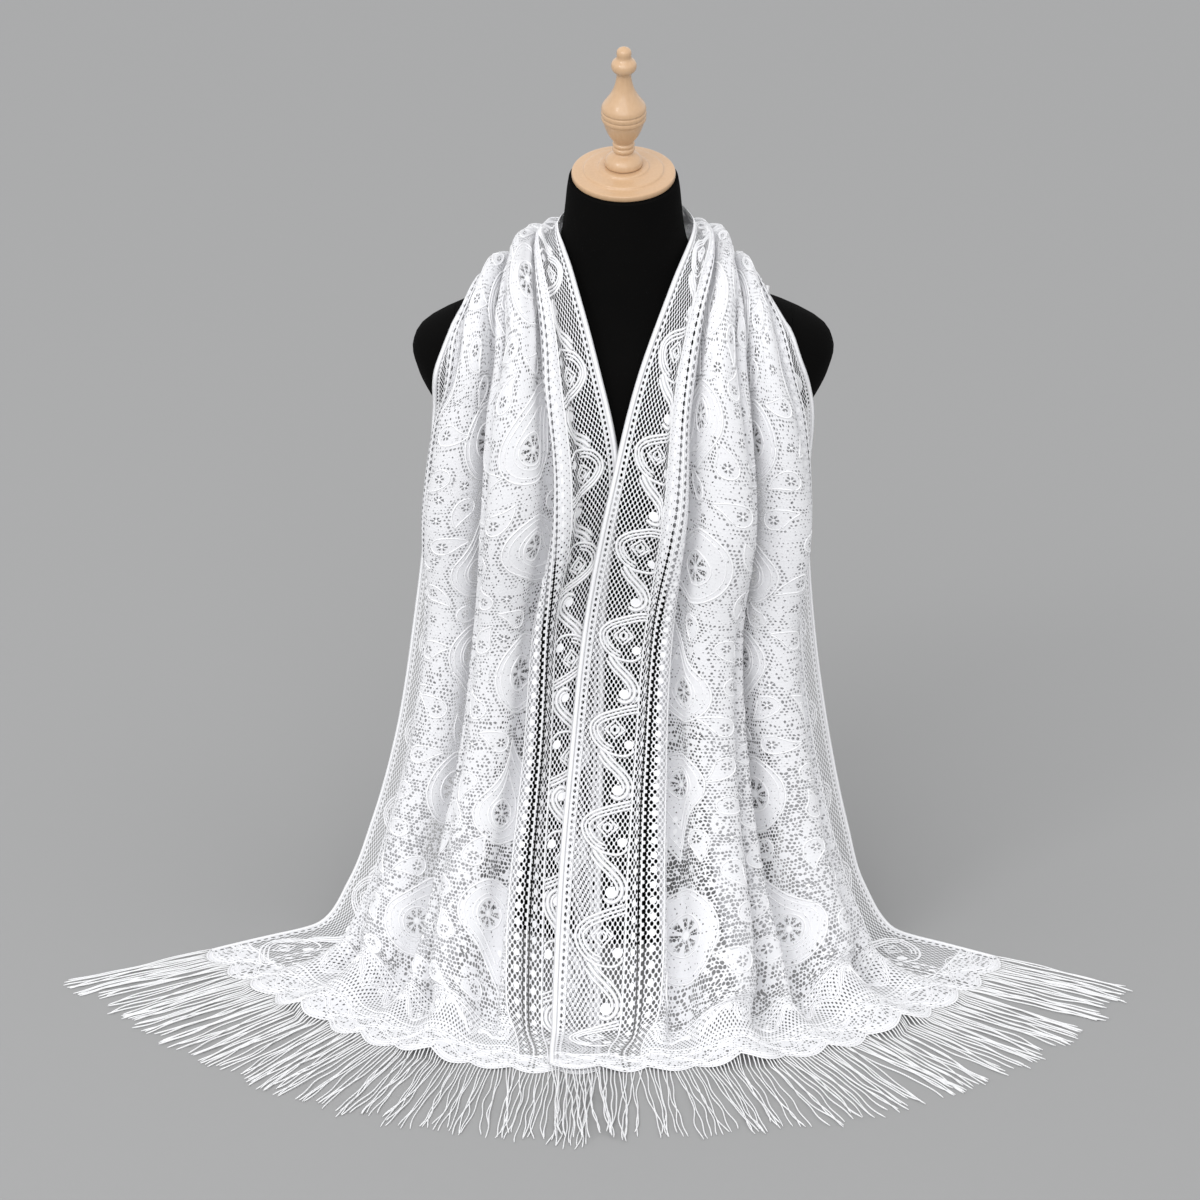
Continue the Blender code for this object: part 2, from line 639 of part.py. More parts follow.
def fringe(name, cloth, side, seed):
    """One narrow strip outside the hem with its strands, as one body."""
    random = np.random.default_rng(seed)
    count = SCALLOPS * SCALLOP_STEPS
    inner, outer, top, roots = [], [], [], []
    ways = fringe_ways(cloth, side, 2 * count + 1)
    for number in range(2 * count + 1):
        u = number / (2 * count)
        point, _ = cloth.at(u, side * hem_v(u))
        way = ways[number]
        base = point[2] - WALL / 2 + STRIP_RAISE
        rim = np.array((point[0], point[1], base))
        if number % 2:
            top.append(rim + way * (STRIP_GAP + STRIP_WIDTH * STRIP_CREST) + np.array((0, 0, STRIP_HEIGHT)))
            roots.append((way, base))
        else:
            inner.append(rim + way * STRIP_GAP)
            outer.append(rim + way * (STRIP_GAP + STRIP_WIDTH))
    points, faces = [], []

    def add(point):
        points.append(point)
        return len(points) - 1

    i_ids = [add(p) for p in inner]
    o_ids = [add(p) for p in outer]
    t_ids = [add(p) for p in top]
    start_top = add((inner[0] + outer[0]) / 2 + np.array((0, 0, STRIP_HEIGHT)))
    end_top = add((inner[-1] + outer[-1]) / 2 + np.array((0, 0, STRIP_HEIGHT)))
    tops = [start_top, *t_ids, end_top]
    for k in range(count + 1):
        faces.append((tops[k], tops[k + 1], i_ids[k]))
        faces.append((tops[k], o_ids[k], tops[k + 1]))
    for k in range(count):
        faces.append((i_ids[k], i_ids[k + 1], o_ids[k + 1], o_ids[k]))
        faces.append((i_ids[k], t_ids[k], i_ids[k + 1]))
    faces.append((start_top, i_ids[0], o_ids[0]))
    faces.append((end_top, o_ids[-1], i_ids[-1]))
    sway = random.uniform(-1, 1, count)
    for k in range(count):
        way, base = roots[k]
        aside = np.array((-way[1], way[0], 0.0))
        drift = STRAND_DRIFT * math.sin(k * 0.55 + seed) + STRAND_SWAY * sway[k]
        reach = STRAND_LENGTH * (1 + STRAND_UNEVEN * (math.sin(k * 0.9 + seed) + sway[k - 1]) / 2)
        centre = (outer[k] + outer[k + 1]) / 2
        ring_low = [o_ids[k], o_ids[k + 1], t_ids[k]]
        rest = rest_height(centre, side)
        for share, bend, fall in STRAND_RINGS:
            spot = centre + way * reach * share + aside * reach * drift * bend
            spot[2] = base + STRIP_RAISE + (rest - base - STRIP_RAISE) * fall
            half = STRAND_THICKNESS / 2
            ring = [
                add(spot + aside * half + np.array((0, 0, -half * STRAND_FLAT))),
                add(spot - aside * half + np.array((0, 0, -half * STRAND_FLAT))),
                add(spot + np.array((0, 0, half))),
            ]
            if np.dot(points[ring[0]] - points[ring[1]], outer[k] - outer[k + 1]) < 0:
                ring[0], ring[1] = ring[1], ring[0]
            faces += [
                (ring_low[0], ring_low[1], ring[1], ring[0]),
                (ring_low[1], ring_low[2], ring[2], ring[1]),
                (ring_low[2], ring_low[0], ring[0], ring[2]),
            ]
            ring_low = ring
        tip = centre + way * reach + aside * reach * drift * TIP_DRIFT
        tip[2] = rest
        tip_id = add(tip)
        faces += [(ring_low[a], ring_low[(a + 1) % 3], tip_id) for a in range(3)]
    return mesh_object(name, points, faces)


def form_mesh(name):
    """The whole form as one closed mesh: its slices, bridged, with flat ends."""
    points, faces = [], []
    for height, half, front, back in FORM_SLICES:
        for number in range(FORM_SIDES):
            angle = 2 * math.pi * number / FORM_SIDES
            y = math.sin(angle) * (back if math.sin(angle) > 0 else front)
            x = float(form_centre(height)) + math.cos(angle) * half
            points.append((x, y, height + float(neck_drop(y, height))))
    for ring in range(len(FORM_SLICES) - 1):
        for number in range(FORM_SIDES):
            a = ring * FORM_SIDES + number
            b = ring * FORM_SIDES + (number + 1) % FORM_SIDES
            faces.append((a, b, b + FORM_SIDES, a + FORM_SIDES))
    faces.append(tuple(reversed(range(FORM_SIDES))))
    faces.append(tuple(range(len(points) - FORM_SIDES, len(points))))
    return mesh_object(name, points, faces)


def cut_flat(form, side, keep_outside, gap):
    """Cuts the form at the upright plane of one armhole and closes the cut with a flat face."""
    edit = bmesh.new()
    edit.from_mesh(form.data)
    geometry = [*edit.verts, *edit.edges, *edit.faces]
    bmesh.ops.bisect_plane(
        edit,
        geom=geometry,
        plane_co=(FORM_SHIFT + side * (ARM_PLANE_X + gap), 0, 0),
        plane_no=(side, 0, 0),
        clear_inner=keep_outside,
        clear_outer=not keep_outside,
    )
    rim = [edge for edge in edit.edges if edge.is_boundary]
    bmesh.ops.edgenet_fill(edit, edges=rim)
    bmesh.ops.recalc_face_normals(edit, faces=edit.faces)
    edit.to_mesh(form.data)
    edit.free()
    form.data.set_sharp_from_angle(angle=CREASE_ANGLE)


def turned(name, profile, sides):
    """A closed turned piece. The profile's rows are a distance along the axis and a radius."""
    points, faces = [], []
    rings = []
    for height, radius in profile:
        if radius == 0:
            rings.append([len(points)])
            points.append((0.0, 0.0, height))
            continue
        rings.append(list(range(len(points), len(points) + sides)))
        for number in range(sides):
            angle = 2 * math.pi * number / sides
            points.append((radius * math.cos(angle), radius * math.sin(angle), height))
    for low, high in zip(rings, rings[1:]):
        for number in range(sides):
            a, b = low[number % len(low)], low[(number + 1) % len(low)]
            c, d = high[(number + 1) % len(high)], high[number % len(high)]
            corners = list(dict.fromkeys((a, b, c, d)))
            faces.append(tuple(corners))
    piece = mesh_object(name, points, faces, TURNED_CREASE_ANGLE)
    piece.location = (FORM_SHIFT, 0, RIM_PLANE_Z)
    piece.rotation_euler = (NECK_TILT, 0, 0)
    return piece


def give_material(pieces, name, colour, roughness, sheen=0.0, coat=0.0):
    """A plain material of its own for each of the pieces."""
    for piece in pieces:
        material = bpy.data.materials.new(f"{name}_{piece.name}")
        material.use_nodes = True
        shader = material.node_tree.nodes["Principled BSDF"]
        shader.inputs["Base Color"].default_value = (*colour, 1.0)
        shader.inputs["Roughness"].default_value = roughness
        shader.inputs["Sheen Weight"].default_value = sheen
        shader.inputs["Coat Weight"].default_value = coat
        shader.inputs["Metallic"].default_value = 0.0
        piece.data.materials.append(material)


def build_shawl():
    """The three stretches of the cloth and the fringe of each end."""
    cloth = Cloth()
    front_rows = [SHOULDER_V + SEAM_GAP / 2, *FRONT_ROWS]
    nape_end = SHOULDER_V - SEAM_GAP / 2
    nape_rows = [-nape_end, *NAPE_ROWS, nape_end]
    return [
        wall_mesh("shawl_front_left", cloth, [-v for v in front_rows], -1),
        wall_mesh("shawl_nape", cloth, nape_rows, 0),
        wall_mesh("shawl_front_right", cloth, front_rows, 1),
        fringe("fringe_left", cloth, -1, LEFT_FRINGE_SEED),
        fringe("fringe_right", cloth, 1, RIGHT_FRINGE_SEED),
    ]


def build_form():
    """The torso without its shoulders' ends, and the plate that closes each armhole."""
    torso = form_mesh("form_torso")
    caps = []
    for side, name in ((-1, "arm_cap_left"), (1, "arm_cap_right")):
        cut_flat(torso, side, False, 0.0)
        cap = form_mesh(name)
        cut_flat(cap, side, True, PIECE_GAP)
        caps.append(cap)
    return [torso, *caps]


def main():
    for thing in list(bpy.data.objects):
        bpy.data.objects.remove(thing, do_unlink=True)
    give_material(build_shawl(), "lace", (0.86, 0.87, 0.90), 0.8, sheen=0.3)
    give_material(build_form(), "velvet", (0.012, 0.011, 0.011), 0.9, sheen=0.4)
    wood = [turned("neck_cap", CAP_PROFILE, CAP_SIDES), turned("finial", FINIAL_PROFILE, FINIAL_SIDES)]
    give_material(wood, "lacquered_wood", (0.87, 0.68, 0.47), 0.25, coat=0.6)


main()
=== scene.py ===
"""The looks of a fringed lace shawl on a limbless dress form. Metres, +Z up, front towards -Y."""

import math

import bmesh
import bpy
import numpy as np
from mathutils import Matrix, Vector


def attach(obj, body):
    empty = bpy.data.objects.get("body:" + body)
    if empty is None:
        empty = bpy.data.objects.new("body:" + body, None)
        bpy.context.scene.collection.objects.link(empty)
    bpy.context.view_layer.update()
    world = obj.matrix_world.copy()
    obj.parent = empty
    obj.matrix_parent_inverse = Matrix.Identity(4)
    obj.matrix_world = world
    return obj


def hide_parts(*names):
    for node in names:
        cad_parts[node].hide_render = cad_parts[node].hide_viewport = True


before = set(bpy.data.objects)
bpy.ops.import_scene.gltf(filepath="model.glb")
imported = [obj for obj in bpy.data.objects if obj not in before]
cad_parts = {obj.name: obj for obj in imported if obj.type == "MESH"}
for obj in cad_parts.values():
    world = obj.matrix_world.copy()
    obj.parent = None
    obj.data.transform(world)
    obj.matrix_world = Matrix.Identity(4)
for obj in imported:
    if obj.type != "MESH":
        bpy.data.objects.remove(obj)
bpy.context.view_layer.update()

# Cloth sizes
CLOTH_LENGTH = 1.98
CLOTH_WIDTH = 0.55
HALF_LENGTH = CLOTH_LENGTH / 2
WALL = 0.0015
FORM_CLEARANCE = 0.0034

# How the drape is worked out: steps of its grid and of each search, and their limits
FINE_ACROSS = 260
FINE_ALONG = 368
VALLEY_STEPS = 60
SHEET_STEPS = 41
TANGENT_STEP = 0.01
MOST_TURN = 2.0
MOST_FLAT = 0.3
HALVINGS = 40
PUSHES = 60
PUSH_STEP = 0.0008
PUSH_SMOOTHING = 6

# Dress form sizes
FORM_HEIGHT = 0.7124
NECK_TILT = math.radians(14.5)
NECK_TILT_START = 0.640
FORM_SHIFT = -0.004
FORM_SHIFT_START = 0.300
FORM_SHIFT_RISE = 0.200
ARM_PLANE_X = 0.153
PIECE_GAP = 0.0003
RIM_PLANE_Z = 0.7190

# Horizontal slices of the form: height, half width, depth to the front, depth to the back
FORM_SLICES = (
    (0.000, 0.134, 0.106, 0.096),
    (0.012, 0.137, 0.108, 0.098),
    (0.080, 0.144, 0.112, 0.106),
    (0.160, 0.141, 0.108, 0.104),
    (0.250, 0.122, 0.098, 0.090),
    (0.330, 0.113, 0.094, 0.082),
    (0.400, 0.119, 0.103, 0.084),
    (0.450, 0.131, 0.112, 0.088),
    (0.480, 0.154, 0.114, 0.091),
    (0.510, 0.176, 0.110, 0.093),
    (0.535, 0.188, 0.102, 0.093),
    (0.560, 0.1915, 0.091, 0.090),
    (0.577, 0.181, 0.081, 0.085),
    (0.590, 0.157, 0.073, 0.078),
    (0.602, 0.125, 0.067, 0.070),
    (0.615, 0.091, 0.061, 0.063),
    (0.632, 0.069, 0.056, 0.058),
    (0.655, 0.0580, 0.0530, 0.0540),
    (0.685, 0.0530, 0.0510, 0.0515),
    (0.705, 0.0508, 0.0496, 0.0498),
    (0.7124, 0.0495, 0.0485, 0.0485),
)

# Stations along the cloth. v is the distance from the middle of the nape, negative
# towards the left end. Each row gives the inner edge, the middle and the outer edge of
# the line across the cloth that its fold valleys lie on, the fullness (cloth across for
# each metre of that line), the flat width kept at each edge, and how far folds lean out.
STATIONS = (
    # v, inner x y z, middle x y z, outer x y z, fullness, flat edge, lean
    (-0.990, -0.024, -0.372, -0.004, -0.225, -0.318, -0.004, -0.400, -0.124, -0.002, 1.02, 0.070, 0.0),
    (-0.945, -0.024, -0.328, -0.004, -0.190, -0.280, -0.005, -0.345, -0.092, -0.002, 1.09, 0.065, 0.1),
    (-0.900, -0.024, -0.287, 0.002, -0.160, -0.248, 0.000, -0.292, -0.066, 0.004, 1.38, 0.060, 0.3),
    (-0.845, -0.024, -0.245, 0.048, -0.140, -0.210, 0.045, -0.262, -0.058, 0.046, 1.62, 0.055, 0.4),
    (-0.780, -0.024, -0.200, 0.115, -0.130, -0.176, 0.105, -0.240, -0.050, 0.103, 1.80, 0.050, 0.4),
    (-0.680, -0.022, -0.150, 0.212, -0.118, -0.138, 0.195, -0.216, -0.042, 0.190, 2.00, 0.045, 0.4),
    (-0.550, -0.020, -0.124, 0.345, -0.105, -0.116, 0.322, -0.196, -0.034, 0.315, 2.15, 0.040, 0.4),
    (-0.420, -0.008, -0.122, 0.480, -0.100, -0.112, 0.440, -0.184, -0.030, 0.420, 2.35, 0.032, 0.4),
    (-0.320, -0.028, -0.098, 0.572, -0.104, -0.096, 0.535, -0.177, -0.042, 0.505, 2.30, 0.026, 0.3),
    (-0.245, -0.050, -0.054, 0.640, -0.108, -0.060, 0.598, -0.171, -0.057, 0.558, 2.15, 0.018, 0.1),
    (-0.185, -0.063, 0.000, 0.668, -0.098, 0.004, 0.630, -0.145, -0.006, 0.602, 2.20, 0.012, 0.0),
    (-0.140, -0.056, 0.028, 0.674, -0.100, 0.052, 0.606, -0.137, 0.051, 0.588, 1.88, 0.018, 0.0),
    (-0.095, -0.044, 0.050, 0.676, -0.096, 0.083, 0.592, -0.114, 0.085, 0.530, 1.68, 0.030, 0.0),
    (0.000, 0.000, 0.062, 0.676, 0.000, 0.102, 0.575, 0.000, 0.112, 0.468, 1.76, 0.045, 0.0),
    (0.095, 0.042, 0.050, 0.676, 0.092, 0.083, 0.592, 0.108, 0.087, 0.532, 1.68, 0.030, 0.0),
    (0.140, 0.054, 0.028, 0.674, 0.095, 0.052, 0.608, 0.128, 0.051, 0.592, 1.88, 0.018, 0.0),
    (0.185, 0.060, 0.000, 0.666, 0.090, 0.004, 0.628, 0.128, -0.006, 0.604, 2.20, 0.012, 0.0),
    (0.245, 0.040, -0.060, 0.632, 0.094, -0.062, 0.600, 0.150, -0.050, 0.566, 2.15, 0.018, 0.1),
    (0.320, 0.010, -0.104, 0.562, 0.088, -0.100, 0.535, 0.168, -0.046, 0.516, 2.25, 0.028, 0.2),
    (0.420, -0.016, -0.133, 0.465, 0.085, -0.120, 0.440, 0.166, -0.032, 0.425, 2.35, 0.040, 0.4),
    (0.550, -0.040, -0.136, 0.335, 0.084, -0.118, 0.320, 0.173, -0.036, 0.305, 2.15, 0.050, 0.4),
    (0.680, -0.054, -0.164, 0.210, 0.090, -0.140, 0.195, 0.190, -0.044, 0.185, 2.00, 0.055, 0.4),
    (0.780, -0.063, -0.214, 0.118, 0.098, -0.178, 0.105, 0.208, -0.054, 0.100, 1.80, 0.060, 0.4),
    (0.845, -0.067, -0.256, 0.052, 0.108, -0.216, 0.046, 0.224, -0.062, 0.044, 1.62, 0.062, 0.4),
    (0.900, -0.069, -0.298, 0.004, 0.126, -0.254, 0.000, 0.254, -0.078, 0.003, 1.38, 0.065, 0.3),
    (0.945, -0.070, -0.330, -0.004, 0.155, -0.284, -0.005, 0.302, -0.106, -0.002, 1.09, 0.068, 0.1),
    (0.990, -0.070, -0.366, -0.004, 0.190, -0.325, -0.004, 0.354, -0.139, -0.002, 1.02, 0.070, 0.0),
)

# Folds from the inner edge out: share of the cloth, depth at the left end, at the nape
# and at the right end, and how much of each is front face
FOLDS = (
    (0.14, 0.84, 0.95, 0.88, 0.30),
    (0.28, 1.08, 0.94, 1.06, 0.40),
    (0.15, 0.88, 1.06, 0.92, 0.25),
    (0.27, 1.08, 0.90, 1.07, 0.42),
    (0.16, 0.90, 0.92, 0.88, 0.30),
)

# The right end lies over the left one where they cross
OVERLAP_LIFT = 0.0030
OVERLAP_EDGE_X = -0.010
OVERLAP_FADE = 0.030
OVERLAP_START = 0.2
FLOOR_BLEND = 0.006

# Scalloped hem
SCALLOPS = 12
SCALLOP_DEPTH = 0.009
HEM_BAND = 0.040

# Listed creases: where they cross the cloth at their start and end (share of its
# width), where they start and end along it, their depth (a trough is negative) and width
CREASES = (
    (0.20, 0.24, 0.20, 0.46, 0.0016, 0.020),
    (0.34, 0.31, 0.19, 0.38, -0.0014, 0.016),
    (0.52, 0.56, 0.22, 0.50, 0.0018, 0.022),
    (0.66, 0.62, 0.20, 0.41, -0.0012, 0.015),
    (0.80, 0.84, 0.21, 0.52, 0.0016, 0.020),
    (0.43, 0.47, 0.40, 0.78, 0.0020, 0.030),
    (0.27, 0.22, 0.52, 0.86, -0.0016, 0.026),
    (0.72, 0.77, 0.48, 0.82, 0.0018, 0.028),
    (0.58, 0.53, 0.60, 0.90, -0.0014, 0.024),
    (0.14, 0.10, 0.62, 0.93, 0.0016, 0.026),
    (0.18, 0.22, -0.44, -0.19, 0.0016, 0.018),
    (0.31, 0.34, -0.40, -0.20, -0.0014, 0.016),
    (0.47, 0.42, -0.54, -0.21, 0.0020, 0.022),
    (0.60, 0.64, -0.38, -0.19, -0.0013, 0.015),
    (0.78, 0.74, -0.56, -0.20, 0.0018, 0.022),
    (0.36, 0.41, -0.84, -0.46, 0.0020, 0.030),
    (0.24, 0.20, -0.90, -0.58, -0.0015, 0.024),
    (0.68, 0.71, -0.86, -0.50, 0.0018, 0.028),
    (0.86, 0.82, -0.92, -0.60, -0.0014, 0.022),
    (0.53, 0.56, -0.93, -0.64, 0.0014, 0.026),
    (0.25, 0.29, -0.15, 0.16, 0.0014, 0.018),
    (0.45, 0.41, -0.17, 0.13, 0.0016, 0.020),
    (0.63, 0.66, -0.14, 0.17, 0.0014, 0.018),
    (0.82, 0.79, -0.16, 0.14, 0.0016, 0.020),
    (0.12, 0.15, 0.17, 0.36, 0.0030, 0.014),
    (0.28, 0.25, 0.16, 0.33, 0.0026, 0.013),
    (0.40, 0.44, 0.17, 0.39, 0.0030, 0.015),
    (0.58, 0.55, 0.16, 0.35, 0.0028, 0.013),
    (0.73, 0.76, 0.17, 0.38, 0.0030, 0.014),
    (0.88, 0.86, 0.16, 0.32, 0.0024, 0.012),
    (0.13, 0.16, -0.38, -0.17, 0.0030, 0.014),
    (0.26, 0.22, -0.34, -0.16, 0.0026, 0.013),
    (0.41, 0.38, -0.40, -0.17, 0.0030, 0.015),
    (0.55, 0.58, -0.35, -0.16, 0.0028, 0.013),
    (0.71, 0.68, -0.39, -0.17, 0.0030, 0.014),
    (0.87, 0.89, -0.33, -0.16, 0.0024, 0.012),
)
CREASE_FADE = 0.35


def slopes(xs, ys):
    """Tangents of a smooth curve through the rows ys at xs."""
    steps = np.diff(xs)[:, None]
    rises = np.diff(ys, axis=0) / steps
    middle = (rises[:-1] * steps[1:] + rises[1:] * steps[:-1]) / (steps[1:] + steps[:-1])
    return np.vstack([rises[:1], middle, rises[-1:]])


def smooth_rows(table, xs):
    """Every column of the table, read smoothly at the places xs of its first column."""
    table = np.array(table, float)
    keys, values = table[:, 0], table[:, 1:]
    tangents = slopes(keys, values)
    index = np.clip(np.searchsorted(keys, xs) - 1, 0, len(keys) - 2)
    width = (keys[index + 1] - keys[index])[:, None]
    t = ((xs - keys[index])[:, None]) / width
    start = values[index] * (2 * t**3 - 3 * t**2 + 1) + tangents[index] * width * (t**3 - 2 * t**2 + t)
    end = values[index + 1] * (3 * t**2 - 2 * t**3) + tangents[index + 1] * width * (t**3 - t**2)
    return start + end


def smoothstep(x):
    x = np.clip(x, 0.0, 1.0)
    return x * x * (3 - 2 * x)


def soft_floor(z, level, blend):
    """z kept at or above the level, with a rounded change over the blend height."""
    rise = z - level
    t = np.clip((rise + blend) / (2 * blend), 0.0, 1.0)
    return level + np.where(rise > blend, rise, blend * t * t)


def form_outline(z):
    """Half width, front depth and back depth of the form at the heights z."""
    rows = smooth_rows(FORM_SLICES, np.clip(z, 0.0, FORM_HEIGHT).ravel())
    return [rows[:, k].reshape(np.shape(z)) for k in range(3)]


def neck_drop(y, z):
    """How far the tilt of the neck moves a point of a slice up or down."""
    share = smoothstep((z - NECK_TILT_START) / (FORM_HEIGHT - NECK_TILT_START))
    return y * math.tan(NECK_TILT) * share


def form_centre(z):
    """How far the form leans to one side above its waist."""
    return FORM_SHIFT * smoothstep((z - FORM_SHIFT_START) / FORM_SHIFT_RISE)


def inside_form(x, y, z):
    level = z - neck_drop(y, z)
    half, front, back = form_outline(level)
    depth = np.where(y < 0, front, back)
    return (((x - form_centre(level)) / half) ** 2 + (y / depth) ** 2 < 1) & (level < FORM_HEIGHT)


def fold_turns(places, v):
    """Direction of the cloth across its width, for a turn of 1 radian at each fold."""
    turns = np.zeros_like(places)
    side = np.clip(v / HALF_LENGTH, -1.0, 1.0)
    start = 0.0
    for share, left, nape, right, face in FOLDS:
        t = np.clip((places - start) / share, 0.0, 1.0)
        phase = 2 * math.pi * t + face * np.sin(2 * math.pi * t)
        depth = nape + (right - nape) * side if side > 0 else nape + (nape - left) * side
        turns += depth * np.sin(phase) * ((places >= start) & (places < start + share))
        start += share
    return turns


def folded_line(length, fullness, edge, v):
    """Places along the valley line and heights over it, for even steps of cloth."""
    steps = np.linspace(0.0, 1.0, FINE_ACROSS + 1)
    flat = min(edge / (length * fullness), MOST_FLAT)
    turns = fold_turns((steps - flat) / (1 - 2 * flat), v)
    low, high = 0.0, MOST_TURN
    for _ in range(HALVINGS):
        turn = (low + high) / 2
        if np.cos(turn * turns).mean() * fullness > 1:
            low = turn
        else:
            high = turn
    across, rise = (
        np.concatenate([[0], np.cumsum((way[1:] + way[:-1]) / 2)])
        for way in (np.cos(low * turns), np.sin(low * turns))
    )
    rise -= rise[-1] * steps
    scale = length / across[-1]
    return across / across[-1], np.maximum(rise, 0) * scale


def cloth_grid():
    """Middle surface of the cloth on a fine grid: points, and the rows' distances along it."""
    vs = np.linspace(-HALF_LENGTH, HALF_LENGTH, FINE_ALONG + 1)
    rows = smooth_rows(STATIONS, vs)
    inner, middle, outer = rows[:, 0:3], rows[:, 3:6], rows[:, 6:9]
    dense = np.linspace(0.0, 1.0, VALLEY_STEPS)[None, :, None]

    def valley(q):
        return (
            inner[:, None] * (2 * q - 1) * (q - 1)
            + middle[:, None] * 4 * q * (1 - q)
            + outer[:, None] * q * (2 * q - 1)
        )

    runs = np.linalg.norm(np.diff(valley(dense), axis=1), axis=2)
    lengths = runs.sum(axis=1)
    across = np.empty((len(vs), FINE_ACROSS + 1))
    rise = np.empty_like(across)
    for j, v in enumerate(vs):
        across[j], rise[j] = folded_line(lengths[j], rows[j, 9], rows[j, 10], v)
    travelled = np.hstack([np.zeros((len(vs), 1)), np.cumsum(runs, axis=1)]) / lengths[:, None]
    leaned = across + rows[:, 11:12] * rise / lengths[:, None]
    q = np.array([np.interp(leaned[j], travelled[j], dense[0, :, 0]) for j in range(len(vs))])
    base = valley((q + np.maximum(leaned - 1.0, 0.0))[..., None])
    nearby = np.clip(q, TANGENT_STEP, 1 - TANGENT_STEP)[..., None]
    along_q = valley(nearby + TANGENT_STEP) - valley(nearby - TANGENT_STEP)
    even_q = np.linspace(0.0, 1.0, SHEET_STEPS)
    along_v_sheet = np.gradient(valley(even_q[None, :, None]), vs, axis=0)
    along_v = np.empty_like(base)
    for j in range(len(vs)):
        for k in range(3):
            along_v[j, :, k] = np.interp(q[j], even_q, along_v_sheet[j, :, k])
    normals = unit(np.cross(along_v, along_q))
    points = base + normals * rise[..., None]
    points += surface_normals(points) * creases(vs)[..., None]
    points = clear_of_form(points, normals)
    return laid_on_floor(points, vs), vs


def creases(vs):
    """How far the listed creases move each point of the grid."""
    shares = np.linspace(0.0, 1.0, FINE_ACROSS + 1)
    moved = np.zeros((len(vs), FINE_ACROSS + 1))
    for start_u, end_u, start_v, end_v, depth, width in CREASES:
        t = (vs - start_v) / (end_v - start_v)
        fade = smoothstep(t / CREASE_FADE) * smoothstep((1 - t) / CREASE_FADE)
        centre = start_u + (end_u - start_u) * np.clip(t, 0, 1)
        moved += depth * fade[:, None] * np.exp(-(((shares[None] - centre[:, None]) / width) ** 2))
    return moved


def clear_of_form(points, outward):
    """Points moved outwards, a little at a time, until a wall's half and a gap clear the form."""
    reach = WALL / 2 + FORM_CLEARANCE
    moved = np.zeros(points.shape[:2])
    for _ in range(PUSHES):
        now = points + outward * moved[..., None]
        touching = np.zeros(moved.shape, bool)
        for way in ((0, 0, 0), (0, 0, -1), (1, 0, 0), (-1, 0, 0), (0, 1, 0), (0, -1, 0)):
            probe = now + np.array(way) * reach
            touching |= inside_form(probe[..., 0], probe[..., 1], probe[..., 2])
        if not touching.any():
            break
        moved[touching] += PUSH_STEP
    # A short average keeps the pushed cloth even
    for _ in range(PUSH_SMOOTHING):
        padded = np.pad(moved, 1, mode="edge")
        mean = (padded[:-2, 1:-1] + padded[2:, 1:-1] + padded[1:-1, :-2] + padded[1:-1, 2:]) / 4
        moved = np.maximum(moved, mean)
    return points + outward * moved[..., None]


def over_left_end(x):
    """How far the right end is raised where it lies over the left one."""
    return OVERLAP_LIFT * smoothstep((OVERLAP_EDGE_X - x) / OVERLAP_FADE + 0.5)


def laid_on_floor(points, vs):
    """The cloth brought to rest on the surface, the right end over the left one."""
    points = points.copy()
    lift = over_left_end(points[..., 0]) * smoothstep(vs / OVERLAP_START)[:, None]
    points[..., 2] = soft_floor(points[..., 2], WALL / 2 + lift, FLOOR_BLEND)
    return points


def unit(vectors):
    """The vectors brought to a length of 1."""
    return vectors / np.linalg.norm(vectors, axis=-1, keepdims=True)


def surface_normals(points):
    return unit(np.cross(np.gradient(points, axis=0), np.gradient(points, axis=1)))


def hem_v(u):
    """Distance from the nape to the scalloped hem at the share u of the width."""
    return HALF_LENGTH - SCALLOP_DEPTH * (1 - np.abs(np.sin(math.pi * SCALLOPS * u)))


class Cloth:
    """The cloth's middle surface, read at cloth places: x from the inner edge, v along it."""

    def __init__(self):
        self.points, self.vs = cloth_grid()
        self.normals = surface_normals(self.points)

    def read(self, field, x, v):
        row = np.clip((v + HALF_LENGTH) / CLOTH_LENGTH, 0.0, 1.0) * FINE_ALONG
        column = np.clip(x / CLOTH_WIDTH, 0.0, 1.0) * FINE_ACROSS
        j = np.minimum(row.astype(int), FINE_ALONG - 1)
        i = np.minimum(column.astype(int), FINE_ACROSS - 1)
        a, b = (row - j)[..., None], (column - i)[..., None]
        low = field[j, i] * (1 - b) + field[j, i + 1] * b
        high = field[j + 1, i] * (1 - b) + field[j + 1, i + 1] * b
        return low * (1 - a) + high * a

    def at(self, x, v):
        """Points and unit normals."""
        x, v = np.asarray(x, float), np.asarray(v, float)
        return self.read(self.points, x, v), unit(self.read(self.normals, x, v))


# Layout of the lace, in millimetres from the nearest long edge
TAPE_WIDTH = 5.0
NET_START = 10.5
BEADING_START = 57.0
BEADING_LINES = (57.0, 72.0, 89.0)
FIELD_START = 90.0
WIDTH_MM = CLOTH_WIDTH * 1000
HALF_MM = HALF_LENGTH * 1000

# Rows of eyelets that run along the cloth: distance from the edge, pitch, half width,
# half length and the share of the pitch by which the row is shifted
EYELET_ROWS = (
    (7.8, 5.4, 1.2, 1.7, 0.0),
    (69.4, 6.8, 1.1, 2.3, 0.5),
    (74.6, 6.8, 1.1, 2.3, 0.0),
)

# Bands across each end, by their distance from the hem line
HEM_EDGE = 8.0
HEM_DENSE_END = 34.0
HEM_SCROLL_START = 44.0
HEM_SCROLL_END = 76.0
HEM_BEADING_END = 88.0
HEM_SCROLL_SCALE = 0.52
HEM_WAVE = 4.5

